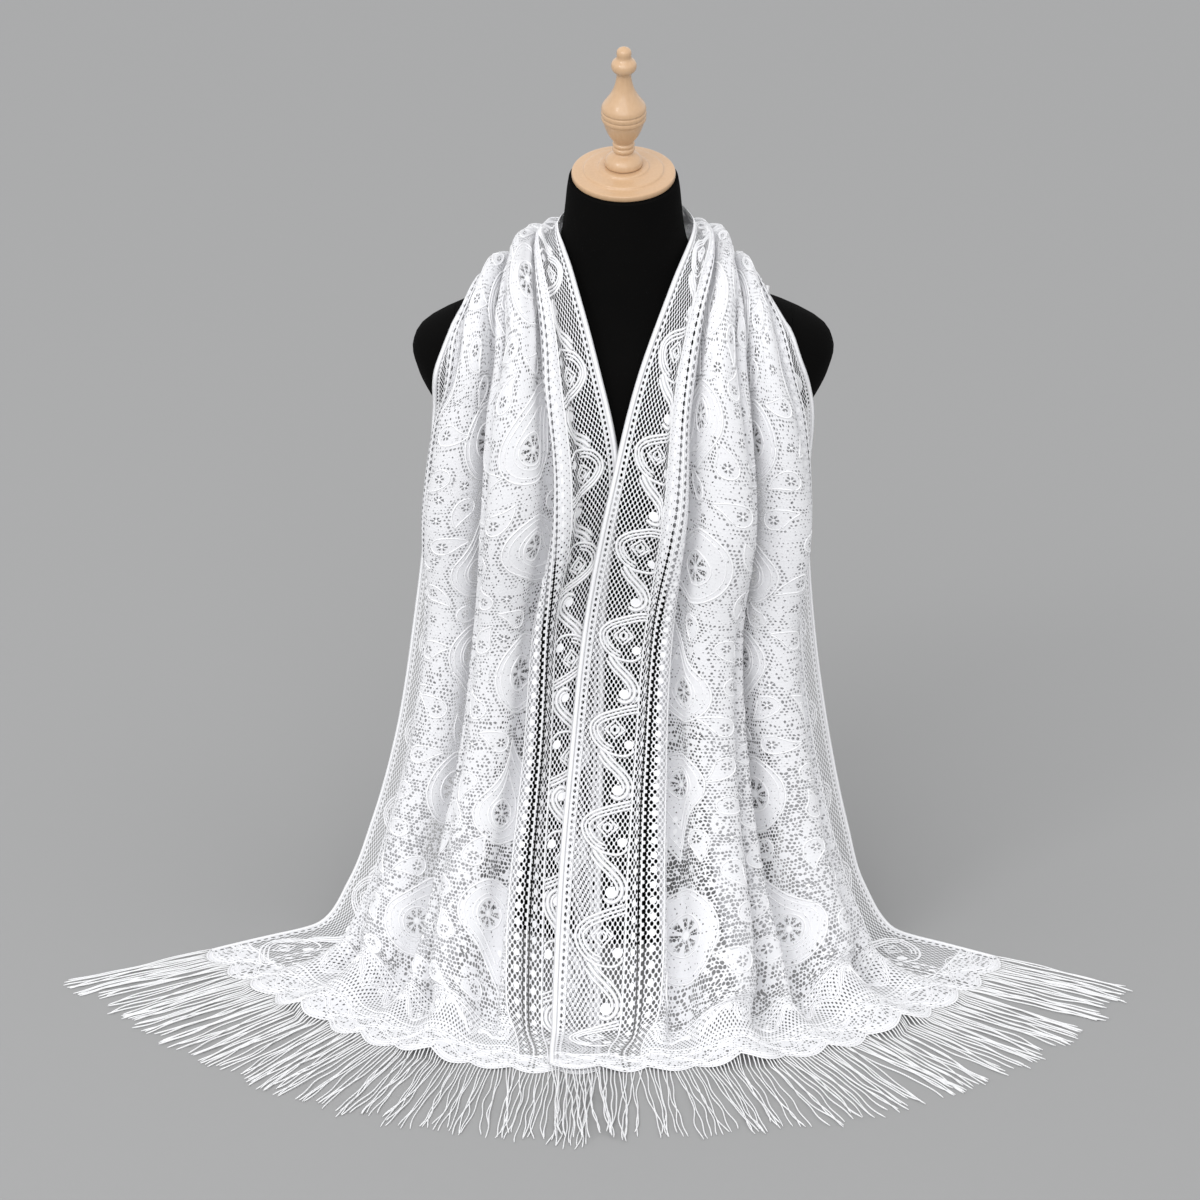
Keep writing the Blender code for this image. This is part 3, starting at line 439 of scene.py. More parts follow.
# The scroll border: one arch with a diamond and one S in each repeat, from the edge in
BORDER_REPEAT = 88.0
BORDER_OVERRUN = 8.0
ARCH = (
    (56, 6), (46, 9), (36, 12.5), (25, 17.5), (17.5, 25), (17, 34),
    (22, 43), (30, 49.5), (40, 53), (50, 53), (56, 48),
)
S_SCROLL = ((27, 50), (34, 59), (43, 67), (50, 74.5), (53, 82), (51, 89), (44.5, 92.5), (38, 89.5))
DIAMOND_CENTRE = (38, 30)
DIAMOND_SIZES = (8.6, 4.4)
BORDER_BULBS = ((51.0, 43.0, 4.2), (43.5, 84.5, 4.5))
LINE_SPACING = 3.1
SCROLL_SPACING = 3.8
SHORT_LINE_SHARE = 0.80

# Width and height of the border's cords, and how much slimmer they are across the ends
ARCH_CORD = (2.7, 1.1)
ARCH_LINE = (2.2, 0.9)
SCROLL_CORD = (4.0, 1.0)
SCROLL_LINE = (2.8, 0.9)
DIAMOND_CORD = (2.1, 0.9)
HEM_CORD_SHARE = 0.5
HEM_PAD_SHARE = 0.8

# Cords along both long edges: distance from the edge, width, height and distance from the hem
EDGE_CORDS = (
    (TAPE_WIDTH / 2, TAPE_WIDTH, 1.3, 10),
    (NET_START, 1.1, 0.8, HEM_DENSE_END),
    *((line, 1.7, 1.0, HEM_DENSE_END) for line in BEADING_LINES),
)

# Cords across each end. Scalloped ones: distance from the hem and width. Wavy ones: distance
# from the hem and phase. Straight ones: distance from the hem and from both long edges.
SCALLOP_CORDS = ((1.0, 2.4), (5.0, 1.3), (8.4, 1.1))
SCALLOP_CORD_HEIGHT = 1.0
WAVE_CORDS = ((15.0, 0.0), (19.0, 0.0), (25.5, math.pi), (29.0, math.pi))
WAVE_CORD = (1.2, 0.9)
HEM_CORDS = (
    (HEM_SCROLL_START, FIELD_START),
    (HEM_SCROLL_END, FIELD_START),
    (HEM_BEADING_END, FIELD_START),
    (HEM_DENSE_END, TAPE_WIDTH),
)
HEM_CORD = (1.6, 1.0)
STRAIGHT_STEP = 3.0
HEM_STEPS = 260
HEM_INSET = 0.004

# Worked dots: half sizes, and their rows and pitch beside the long edges and across the ends
EDGE_DOT = (2.3, 3.0)
EDGE_DOT_ROWS = (64.5, 80.5)
EDGE_DOT_PITCH = 12.8
END_DOT = (2.2, 2.0)
END_DOT_ROWS = (HEM_DENSE_END + 5, HEM_SCROLL_END + 6)
END_DOT_PITCH = EDGE_DOT_PITCH * 0.7

# Large motifs of the field stand on a half-drop repeat. Neighbours differ a little in turn
# and place, by a wave of the given depth and radians for each row.
FIELD_COLUMNS = 4
FIELD_DROP = 118.0
FIELD_END_ROOM = 44
MOTIF_TURNS = (0.35, 0.0, math.pi - 0.5)
TURN_CHANGE = (0.12, 2.1)
PLACE_CHANGE = (4, 1.7)
PAISLEY_SHIFT = -16
PAISLEY_RADIUS = 29.0
PAISLEY_TAIL = 2.35
PAISLEY_LEAN = 0.75
TAIL_BEND = 2.2
TAIL_TAPER = (1.5, 1.1)
TAIL_START = 0.06
TAIL_STEPS = 16
BULB_STEPS = 15
RING_SIZE = (30.0, 37.0)
RING_BAND = 7
PAISLEY_HEART = 0.66
BUD_RADIUS = 9.0
BUD_TURN = 0.9

# Cords of the motifs: their width, and the inner lines' place
OUTLINE_CORD = 2.2
INNER_CORD = 1.2
RING_INNER_LINE = 4
PAISLEY_INNER_LINE = 4.5
HEART_LINE = 0.60
HEART_CORD = 1.4
BUD_CORD = 1.7
MOTIF_CORD_HEIGHT = 1.3
MEDALLIONS = {"ring": (17.0, 2.0), "paisley": (13.8, 1.8)}

# Pads up a paisley's tail, by their distance in radii of its bulb, and pads at the hearts
TAIL_PADS = (1.15, 1.5, 1.8)
TAIL_PAD_SIZE = (2.6, 3.6)
HEART_PAD_SHARE = 0.22
FLOWER_PAD = 1.4

# Radius of the ring of holes at the heart of each motif, and the number of holes in it
ROSETTE_OF = {"ring": (15.5, 8), "paisley": (12.5, 8), "bud": (4.8, 6), "flower": (4.6, 6)}
ROSETTE_MARGIN = 6.0
ROSETTE_SPAN = (0.26, 0.94)
POINT_SPACING = 2.4
CURVE_STEPS = 12
CIRCLE_STEPS = 60

# Steps across and along the field for small motifs, and the room that each keeps: from both
# sides of the field, from both of its ends, from other motifs and from its own kind
BUD_STEPS = (8.0, 8.0)
BUD_SIDES = (16, 12)
BUD_ENDS = (24, 24)
BUD_ROOM = 17.0
BUD_SPACING = 38.0
FLOWER_STEPS = (19.0, 23.0)
FLOWER_SIDES = (12, 6)
FLOWER_ENDS = (16, 10)
FLOWER_ROOM = 9.0
FAR = 99.0
MOTIF_REACH = 95

# Hole sizes of the ground, from 0, open net, to 1, closed clothwork
GROUND_NET = 0.06
GROUND_FIELD = 0.74
OPENER_START = 480
OPENER_RUN = 320
OPENER_BY = 0.58
GROUND_CLOTHWORK = 0.92
GROUND_PINHOLES = 0.84
GROUND_HEM_BEADING = 0.70
GROUND_HEM_NET = 0.62
GROUND_HEM_DENSE = 0.48
GROUND_TAPE = 1.0
GROUND_BEADING = (0.93, 0.20)
BEADING_OPENS = (430, 560)
CONTOUR_WIDTH = 3.4
NO_CONTOUR = 20.0

# The ground of the field is closer and more open in slow waves, in millimetres
RIPPLE_DEPTH = 0.16
RIPPLE_ACROSS = 17
RIPPLE_ALONG = 23
RIPPLE_SLANT = 60
RIPPLE_SWAY = 1.3
RIPPLE_SWAY_ALONG = 41

# The flat map that the cloth's surface is read from: margin, size of a quarter, use of its height
MAP_MARGIN = 0.004
MAP_SIZE = 0.492
MAP_HEIGHT_SHARE = 0.9


def smooth_path(corners, spacing):
    """Points at even distances along a smooth curve through the corners."""
    corners = np.array(corners, float)
    padded = np.vstack([2 * corners[0] - corners[1], corners, 2 * corners[-1] - corners[-2]])
    t = np.linspace(0.0, 1.0, CURVE_STEPS, endpoint=False)[:, None]
    curve = []
    for a, b, c, d in zip(padded, padded[1:], padded[2:], padded[3:]):
        curve.append(
            0.5 * (2 * b + (c - a) * t + (2 * a - 5 * b + 4 * c - d) * t**2 + (3 * b - a - 3 * c + d) * t**3)
        )
    return evenly(np.vstack([*curve, padded[-2]]), spacing)


def evenly(curve, spacing):
    """Points at even distances along a chain of points."""
    travelled = np.concatenate([[0], np.cumsum(np.linalg.norm(np.diff(curve, axis=0), axis=1))])
    count = max(int(round(travelled[-1] / spacing)), 3)
    steps = np.linspace(0, travelled[-1], count + 1)
    return np.stack([np.interp(steps, travelled, curve[:, k]) for k in range(2)], axis=1)


def offset(path, distance):
    """The path moved sideways by a distance, to the right of its direction if positive."""
    ways = unit(np.gradient(path, axis=0))
    return path + np.stack([-ways[:, 1], ways[:, 0]], axis=1) * distance


def turned_about(points, centre, angle, mirror=1):
    """Local points mirrored, turned and moved to their centre."""
    c, s = math.cos(angle), math.sin(angle)
    points = np.array(points, float) * (mirror, 1)
    return points @ np.array(((c, s), (-s, c))) + centre


def paisley(radius):
    """Closed outline of a paisley: a round bulb at the origin and a bent tail."""
    angles = np.linspace(0, math.pi, BULB_STEPS)
    bulb = [(-radius * math.cos(angle), -radius * math.sin(angle)) for angle in angles]
    sides = ([], [])
    for s in np.linspace(TAIL_START, 1.0, TAIL_STEPS):
        centre = np.array((-PAISLEY_LEAN * radius * s**TAIL_BEND, PAISLEY_TAIL * radius * s))
        slope = unit(np.array((-PAISLEY_LEAN * TAIL_BEND * s ** (TAIL_BEND - 1), PAISLEY_TAIL)))
        half = radius * (1 - s ** TAIL_TAPER[0]) ** TAIL_TAPER[1]
        normal = np.array((slope[1], -slope[0]))
        sides[0].append(centre + normal * half)
        sides[1].append(centre - normal * half)
    outline = bulb + sides[0][:-1] + sides[1][::-1]
    return evenly(np.array([*outline, outline[0]]), POINT_SPACING)


def ellipse(radius_x, radius_y):
    angles = np.linspace(0, 2 * math.pi, CIRCLE_STEPS)
    return evenly(np.stack([radius_x * np.cos(angles), radius_y * np.sin(angles)], axis=1), POINT_SPACING)


def field_motifs():
    """Places of the field's motifs: kind, centre, turn and mirror."""
    motifs = []

    def wave(change, row, column):
        return change[0] * math.sin(change[1] * row + column)

    width = (WIDTH_MM - 2 * FIELD_START) / FIELD_COLUMNS
    rows = int(2 * (HALF_MM - HEM_BEADING_END) / FIELD_DROP)
    for column in range(FIELD_COLUMNS):
        for row in range(-rows, rows + 1):
            y = (row + 0.5 * (column % 2)) * FIELD_DROP
            if abs(y) > HALF_MM - HEM_BEADING_END - FIELD_END_ROOM:
                continue
            number = (row + 2 * column) % 3
            kind = "ring" if number == 1 else "paisley"
            turn = MOTIF_TURNS[number] + wave(TURN_CHANGE, row, column)
            if kind == "paisley":
                y += PAISLEY_SHIFT * math.cos(turn)
            x = FIELD_START + width * (column + 0.5) + wave(PLACE_CHANGE, row, column)
            motifs.append((kind, (x, y), turn, 1 if (column + row) % 2 else -1))
    return motifs + buds(motifs)


def field_steps(steps, sides, ends):
    """Even steps across and along the field, away from its sides and ends."""
    end = HALF_MM - HEM_BEADING_END
    xs = np.arange(FIELD_START + sides[0], WIDTH_MM - FIELD_START - sides[1], steps[0])
    return xs, np.arange(ends[0] - end, end - ends[1], steps[1])


def buds(motifs):
    """Small paisleys in the wider gaps between the large motifs."""
    xs, vs = field_steps(BUD_STEPS, BUD_SIDES, BUD_ENDS)
    places = np.array([(x, v, row + column) for row, v in enumerate(vs) for column, x in enumerate(xs)])
    found = []
    for (x, v, number), free in zip(places, clearance(motifs, places[:, :2])):
        apart = min((math.dist((x, v), other) for _, other, _, _ in found), default=FAR)
        if free > BUD_ROOM and apart > BUD_SPACING:
            found.append(("bud", (x, v), BUD_TURN * number, 1 if number % 2 else -1))
    return found


def small_flowers(motifs):
    """Places of small flowers, on a close repeat, where no other motif lies."""
    xs, vs = field_steps(FLOWER_STEPS, FLOWER_SIDES, FLOWER_ENDS)
    drop = FLOWER_STEPS[1] / 2
    places = np.array([(x, v + drop * (column % 2)) for column, x in enumerate(xs) for v in vs])
    return places[clearance(motifs, places) > FLOWER_ROOM]


def clearance(motifs, places):
    """Distance from each place to the nearest motif's outline."""
    free = np.full(len(places), FAR)
    for kind, centre, turn, mirror in motifs:
        outline = turned_about(motif_shapes(kind)[0], centre, turn, mirror)
        free = np.minimum(free, distance_to(outline, places))
    return free


def motif_shapes(kind):
    """Outlines of a motif: its outside and its inner part."""
    if kind == "ring":
        return ellipse(*RING_SIZE), ellipse(*(size - RING_BAND for size in RING_SIZE))
    radius = PAISLEY_RADIUS if kind == "paisley" else BUD_RADIUS
    return paisley(radius), paisley(radius * PAISLEY_HEART)


def rosettes(motifs):
    """Centre, radius and number of holes of every medallion and small flower."""
    found = [(centre, *ROSETTE_OF[kind]) for kind, centre, _, _ in motifs]
    return found + [(tuple(place), *ROSETTE_OF["flower"]) for place in small_flowers(motifs)]


def rosette_fields(places, motifs):
    """Each place's offset from its nearest rosette, in that rosette's radii, and its holes."""
    fields = np.zeros((len(places), 4))
    nearest = np.full(len(places), FAR)
    for centre, radius, holes in rosettes(motifs):
        away = places - centre
        index = np.nonzero(np.abs(away).max(axis=1) < 3 * radius + 2 * ROSETTE_MARGIN)[0]
        reach = np.linalg.norm(away[index], axis=1) / radius
        closer = reach < nearest[index]
        chosen = index[closer]
        nearest[chosen] = reach[closer]
        fields[chosen, :2] = away[chosen] / radius
        fields[chosen, 2] = holes
        fields[chosen, 3] = np.linalg.norm(away[chosen], axis=1) < radius + ROSETTE_MARGIN
    return fields.T


def distance_to(outline, places):
    """Distance from each place to a closed outline, negative inside it."""
    delta = np.linalg.norm(places[:, None] - outline[None, :], axis=2).min(axis=1)
    x, y = places[:, 0, None], places[:, 1, None]
    xs, ys = outline[:-1, 0][None], outline[:-1, 1][None]
    next_xs, next_ys = outline[1:, 0][None], outline[1:, 1][None]
    crosses = (ys > y) != (next_ys > y)
    rise = np.where(crosses, next_ys - ys, 1.0)
    inside = (crosses & (x < xs + (y - ys) / rise * (next_xs - xs))).sum(axis=1) % 2 == 1
    return np.where(inside, -delta, delta)


def ground(places, motifs):
    """Closeness of the ground, whether it is regular net, and the distance from the line of
    pinholes round the motifs, for places in millimetres."""
    x, v = places[:, 0], places[:, 1]
    edge = np.minimum(x, WIDTH_MM - x)
    from_hem = HALF_MM - np.abs(v)
    sway = RIPPLE_SWAY * np.sin(v / RIPPLE_SWAY_ALONG)
    ripple = RIPPLE_DEPTH * np.sin(x / RIPPLE_ACROSS + sway) * np.sin(v / RIPPLE_ALONG + x / RIPPLE_SLANT)
    towards_end = smoothstep((np.abs(v) - OPENER_START) / OPENER_RUN)
    closed = GROUND_FIELD + ripple - OPENER_BY * towards_end
    netting = np.zeros_like(x)
    contour = np.full_like(x, NO_CONTOUR)
    for kind, centre, turn, mirror in motifs:
        index = np.nonzero(np.abs(places - centre).max(axis=1) < MOTIF_REACH)[0]
        outer, inner = (
            distance_to(turned_about(shape, centre, turn, mirror), places[index])
            for shape in motif_shapes(kind)
        )
        contour[index] = np.minimum(contour[index], np.abs(outer - CONTOUR_WIDTH))
        for distance, value in ((outer, GROUND_CLOTHWORK), (inner, GROUND_PINHOLES)):
            zone = smoothstep(-distance / 2)
            closed[index] = closed[index] * (1 - zone) + value * zone
    top, low_end = BEADING_OPENS
    opened = smoothstep((np.abs(v) - top) / (low_end - top))
    beading = GROUND_BEADING[0] * (1 - opened) + GROUND_BEADING[1] * opened
    in_hem = from_hem < HEM_BEADING_END
    at_side = (edge < FIELD_START) & (from_hem > HEM_DENSE_END)
    for inside, distance, low, high, value, net in (
        (in_hem, from_hem, HEM_SCROLL_END, HEM_BEADING_END, GROUND_HEM_BEADING, 1),
        (in_hem, from_hem, HEM_SCROLL_START, HEM_SCROLL_END, GROUND_HEM_NET, 1),
        (in_hem, from_hem, HEM_DENSE_END, HEM_SCROLL_START, GROUND_HEM_BEADING, 1),
        (in_hem, from_hem, HEM_EDGE, HEM_DENSE_END, GROUND_HEM_DENSE, 0),
        (in_hem, from_hem, -FAR, HEM_EDGE, GROUND_CLOTHWORK, 0),
        (at_side, edge, BEADING_START, FIELD_START, beading, 1),
        (at_side, edge, NET_START, BEADING_START, GROUND_NET, 1),
        (at_side, edge, 0.0, NET_START, GROUND_TAPE, 0),
    ):
        zone = inside & (distance >= low) & (distance < high)
        closed[zone] = np.broadcast_to(value, x.shape)[zone]
        netting[zone], contour[zone] = net, NO_CONTOUR
    return closed, netting, contour


def sheet_mesh(cloth, motifs):
    """The whole shawl as one thin sheet with a scalloped hem, its lace read from its cloth places."""
    shares, vs = np.meshgrid(np.linspace(0, 1, FINE_ACROSS + 1), cloth.vs)
    into_hem = np.clip((np.abs(vs) - (HALF_LENGTH - HEM_BAND)) / HEM_BAND, 0, 1)
    vs = vs + np.sign(vs) * into_hem * (hem_v(shares) - HALF_LENGTH)
    points, _ = cloth.at(shares * CLOTH_WIDTH, vs)
    across = FINE_ACROSS + 1
    first = (np.arange(FINE_ALONG)[:, None] * across + np.arange(FINE_ACROSS)[None]).ravel()
    faces = np.stack([first, first + 1, first + 1 + across, first + across], axis=1)
    sheet = mesh_piece("shawl_lace", points.reshape(-1, 3), faces.tolist())
    places = np.stack([shares.ravel() * WIDTH_MM, vs.ravel() * 1000], axis=1)
    for names, values in (
        (("across", "along"), places.T),
        (("edge",), [np.minimum(places[:, 0], WIDTH_MM - places[:, 0])]),
        (("closed", "netting", "contour"), ground(places, motifs)),
        (("rosette_x", "rosette_y", "rosette_holes", "rosette_near"), rosette_fields(places, motifs)),
    ):
        for name, row in zip(names, values):
            attribute = sheet.data.attributes.new(name, "FLOAT", "POINT")
            attribute.data.foreach_set("value", row.astype(np.float32))
    lay_out_bake_map(sheet, shares.ravel(), vs.ravel())
    return sheet


def lay_out_bake_map(sheet, shares, vs):
    """A flat map of the cloth in four quarters side by side, two by two, at one scale."""
    mesh = sheet.data
    corners = np.empty(len(mesh.loops), int)
    mesh.loops.foreach_get("vertex_index", corners)
    quarters = (vs + HALF_LENGTH) / (CLOTH_LENGTH / 4)
    tile = np.repeat(np.clip(quarters[corners.reshape(-1, 4)[:, 0]].astype(int), 0, 3), 4)
    u = MAP_MARGIN + (tile % 2) * 0.5 + shares[corners] * MAP_SIZE
    v = MAP_MARGIN + (tile // 2) * 0.5 + (quarters[corners] - tile) * MAP_SIZE * MAP_HEIGHT_SHARE
    layer = mesh.uv_layers.new(name="OFBake")
    layer.uv.foreach_set("vector", np.stack([u, v], axis=1).astype(np.float32).ravel())


def link(name, data):
    made = bpy.data.objects.new(name, data)
    bpy.context.scene.collection.objects.link(made)
    return made


def mesh_piece(name, points, faces, sharp=None):
    mesh = bpy.data.meshes.new(name)
    mesh.from_pydata(np.asarray(points).tolist(), [], faces)
    mesh.shade_smooth()
    if sharp is not None:
        mesh.set_sharp_from_angle(angle=math.radians(sharp))
    return link(name, mesh)


def tube_faces(first, rings, sides):
    """Faces of a closed tube whose rings of points follow each other from the first point."""
    low = first + sides * np.arange(rings - 1)[:, None]
    near = np.arange(sides)[None]
    far = (near + 1) % sides
    walls = np.stack([low + near, low + far, low + far + sides, low + near + sides], axis=2)
    start = [*range(first, first + sides)]
    end = [corner + sides * (rings - 1) for corner in start]
    return [*walls.reshape(-1, 4).tolist(), start[::-1], end]


def cords_mesh(name, cloth, cords):
    """Raised cords on both sides of the cloth. A cord is a path, its width and its height, all in mm."""
    points, faces, count = [], [], 0
    for path, width, height in cords:
        centre, normal = cloth.at(path[:, 0] / 1000, path[:, 1] / 1000)
        side = np.cross(normal, np.gradient(centre, axis=0))
        side /= np.maximum(np.linalg.norm(side, axis=1, keepdims=True), 1e-9)
        taper = np.ones(len(path))
        taper[[0, -1]] = 0.5
        aside = side * (width / 2000 * taper)[:, None]
        lift = normal * (height / 2000 * taper)[:, None]
        points.append(np.stack([centre + aside, centre + lift, centre - aside, centre - lift], axis=1))
        faces += tube_faces(count, len(path), 4)
        count += 4 * len(path)
    return mesh_piece(name, np.concatenate(points).reshape(-1, 3), faces)


def pads_mesh(name, cloth, pads, height=0.4, sides=10):
    """Small flat pads worked on both sides of the cloth: centre, half sizes and turn."""
    angles = 2 * math.pi * np.arange(sides) / sides
    circle = np.stack([np.cos(angles), np.sin(angles)], axis=1)
    points, faces = [], []
    for number, (centre, half_x, half_y, turn) in enumerate(pads):
        rim = turned_about(circle * (half_x, half_y), np.array(centre), turn)
        places = np.vstack([rim, centre]) / 1000
        at, normal = cloth.at(places[:, 0], places[:, 1])
        lift = normal[-1] * height / 2000
        points.append(np.vstack([at[:-1], at[-1] + lift, at[-1] - lift]))
        base = number * (sides + 2)
        for k in range(sides):
            after = (k + 1) % sides
            faces.append((base + after, base + k, base + sides))
            faces.append((base + k, base + after, base + sides + 1))
    return mesh_piece(name, np.vstack(points), faces, sharp=40)


def border_lines():
    """Cords and pads of one repeat of the scroll border, from the edge in and along."""
    arch, scroll = smooth_path(ARCH, POINT_SPACING), smooth_path(S_SCROLL, POINT_SPACING)
    short_arch, short_scroll = (path[: int(len(path) * SHORT_LINE_SHARE)] for path in (arch, scroll))
    cords = [(arch, *ARCH_CORD)]
    cords += [(offset(short_arch, -number * LINE_SPACING), *ARCH_LINE) for number in (1, 2)]
    cords += [
        (scroll, *SCROLL_CORD),
        (offset(short_scroll, -SCROLL_SPACING), *SCROLL_LINE),
        (offset(scroll[1:-1], SCROLL_SPACING), *SCROLL_LINE),
    ]
    x, y = DIAMOND_CENTRE
    for half in DIAMOND_SIZES:
        corners = [(x, y - half), (x + half, y), (x, y + half), (x - half, y), (x, y - half)]
        cords.append((evenly(np.array(corners, float), POINT_SPACING), *DIAMOND_CORD))
    pads = [((bx, by), radius, radius, 0.0) for bx, by, radius in BORDER_BULBS]
    return cords, pads


def border():
    """The scroll border along both long edges and across both ends."""
    unit_cords, unit_pads = border_lines()
    cords, pads = [], []

    def put(place, limit, cord_share, pad_share):
        """One repeat, its distances from the edge and along it turned into cloth places."""
        for path, width, height in unit_cords:
            x, v = place(path[:, 0], path[:, 1])
            if np.abs(v).max() <= limit + BORDER_OVERRUN:
                cords.append((np.stack([x, v], axis=1), width * cord_share, height))
        for centre, half_x, half_y, turn in unit_pads:
            x, v = place(*centre)
            if abs(v) <= limit:
                pads.append(((x, v), half_x * pad_share, half_y * pad_share, turn))

    limit = HALF_MM - HEM_DENSE_END
    count = math.ceil(limit / BORDER_REPEAT)
    for start in np.arange(-count, count) * BORDER_REPEAT:
        put(lambda x, y: (x, y + start), limit, 1, 1)
        put(lambda x, y: (WIDTH_MM - x, y + start), limit, 1, 1)
    scale = HEM_SCROLL_SCALE
    repeats = int((WIDTH_MM - 2 * FIELD_START) / BORDER_REPEAT / scale)
    first = (WIDTH_MM - repeats * BORDER_REPEAT * scale) / 2
    inner = HALF_MM - HEM_SCROLL_START
    for end in (-1, 1):
        for start in first + np.arange(repeats) * BORDER_REPEAT * scale:
            put(
                lambda x, y: (start + y * scale, end * (inner - x * scale)),
                HALF_MM,
                HEM_CORD_SHARE,
                scale * HEM_PAD_SHARE,
            )
    return cords, pads


def edges():
    """The woven tape of both long edges, the lines beside the beading and the scalloped hem."""
    cords = []

    def add(x, v, width, height):
        cords.append((np.stack(np.broadcast_arrays(x, v), axis=1), width, height))

    for mirror in (False, True):
        for distance, width, height, short_by in EDGE_CORDS:
            along = np.arange(short_by - HALF_MM, HALF_MM - short_by + 1, STRAIGHT_STEP)
            add(WIDTH_MM - distance if mirror else distance, along, width, height)
    shares = np.linspace(HEM_INSET, 1 - HEM_INSET, HEM_STEPS)
    for end in (-1, 1):
        for inset, width in SCALLOP_CORDS:
            add(shares * WIDTH_MM, end * (hem_v(shares) * 1000 - inset), width, SCALLOP_CORD_HEIGHT)
        for inset, turn in WAVE_CORDS:
            wave = HEM_WAVE * np.sin(2 * math.pi * SCALLOPS * shares + turn)
            add(shares * WIDTH_MM, end * (HALF_MM - SCALLOP_DEPTH * 500 - inset + wave), *WAVE_CORD)
        for distance, from_edge in HEM_CORDS:
            across = np.arange(from_edge, WIDTH_MM - from_edge, STRAIGHT_STEP)
            add(across, end * (HALF_MM - distance), *HEM_CORD)
    return cords


def worked_dots():
    """Small worked dots between the eyelet rows of the beading and across the ends."""
    pads = []
    for distance in EDGE_DOT_ROWS:
        for v in np.arange(HEM_DENSE_END - HALF_MM, HALF_MM - HEM_DENSE_END, EDGE_DOT_PITCH):
            pads += [((x, v), *EDGE_DOT, 0.0) for x in (distance, WIDTH_MM - distance)]
    for x in np.arange(FIELD_START, WIDTH_MM - FIELD_START, END_DOT_PITCH):
        for distance in END_DOT_ROWS:
            pads += [((x, end * (HALF_MM - distance)), *END_DOT, 0.0) for end in (-1, 1)]
    return pads


def motif_cords(kind):
    """Outlines of a motif's cords, with the width of each."""
    if kind == "bud":
        return [(paisley(BUD_RADIUS), BUD_CORD)]
    radius, width = MEDALLIONS[kind]
    medallion = (ellipse(radius, radius), width)
    if kind == "ring":
        inner = ellipse(*(size - RING_INNER_LINE for size in RING_SIZE))
        return [(ellipse(*RING_SIZE), OUTLINE_CORD), (inner, INNER_CORD), medallion]
    return [
        (paisley(PAISLEY_RADIUS), OUTLINE_CORD),
        (paisley(PAISLEY_RADIUS - PAISLEY_INNER_LINE), INNER_CORD),
        (paisley(PAISLEY_RADIUS * HEART_LINE), HEART_CORD),
        medallion,
    ]


def field(motifs):
    """Cord outlines and worked pads of the field's paisleys, rings and small flowers."""
    cords, pads = [], []
    for kind, centre, turn, mirror in motifs:
        for outline, width in motif_cords(kind):
            cords.append((turned_about(outline, centre, turn, mirror), width, MOTIF_CORD_HEIGHT))
        heart = HEART_PAD_SHARE * ROSETTE_OF[kind][0]
        pads.append((centre, heart, heart, 0.0))
        if kind == "paisley":
            for share in TAIL_PADS:
                x = -PAISLEY_LEAN * PAISLEY_RADIUS * (share / PAISLEY_TAIL) ** TAIL_BEND
                spot = turned_about([(x, PAISLEY_RADIUS * share)], centre, turn, mirror)[0]
                pads.append((tuple(spot), *(size / share for size in TAIL_PAD_SIZE), turn))
    pads += [((x, v), FLOWER_PAD, FLOWER_PAD, 0.0) for x, v in small_flowers(motifs)]
    return cords, pads


# Fringe
STRANDS = 150
STRAND_STEPS = 24
STRAND_LENGTH = 0.127
STRAND_LENGTH_SPREAD = 0.030
STRAND_RADIUS = 0.00076
STRAND_GAP = 0.0002
STRAND_SIDES = 3
STRAND_START = 0.0015
STRAND_ROOT = 0.012
FRINGE_LEVER = 0.05
FRINGE_SMOOTHING = 12
CORNER_REACH = 0.12

# Strands lie in loose clusters. Leans are in radians. Each strand has a long and a short wave
# sideways and one upwards, given as their depth and the radians that they turn through.
CLUSTER = 8
CLUSTER_LEAN = 0.055
STRAND_LEAN = 0.045
LEAN_EASES = 0.25
CLUSTER_GATHER = 0.07
STRAND_WAVES = ((0.0040, 6.5), (0.0012, 17), (0.0006, 9))

# Name, node, side, seed and the share by which the strands at both corners are longer
FRINGE_ENDS = (
    ("yarn_fringe_left", "fringe_left", -1, 5, 0.11),
    ("yarn_fringe_right", "fringe_right", 1, 9, 0.0),
)


def fringe_ways(cloth, side):
    """Level directions in which the strands leave the hem, averaged over their neighbours."""
    u = np.linspace(0.0, 1.0, STRANDS) * CLOTH_WIDTH
    rim, _ = cloth.at(u, np.full(STRANDS, side * HALF_LENGTH))
    behind, _ = cloth.at(u, np.full(STRANDS, side * (HALF_LENGTH - FRINGE_LEVER)))
    ways = np.pad((rim - behind) * (1, 1, 0), ((FRINGE_SMOOTHING, FRINGE_SMOOTHING), (0, 0)), mode="edge")
    return unit(np.array([ways[k : k + 2 * FRINGE_SMOOTHING + 1].mean(axis=0) for k in range(STRANDS)]))


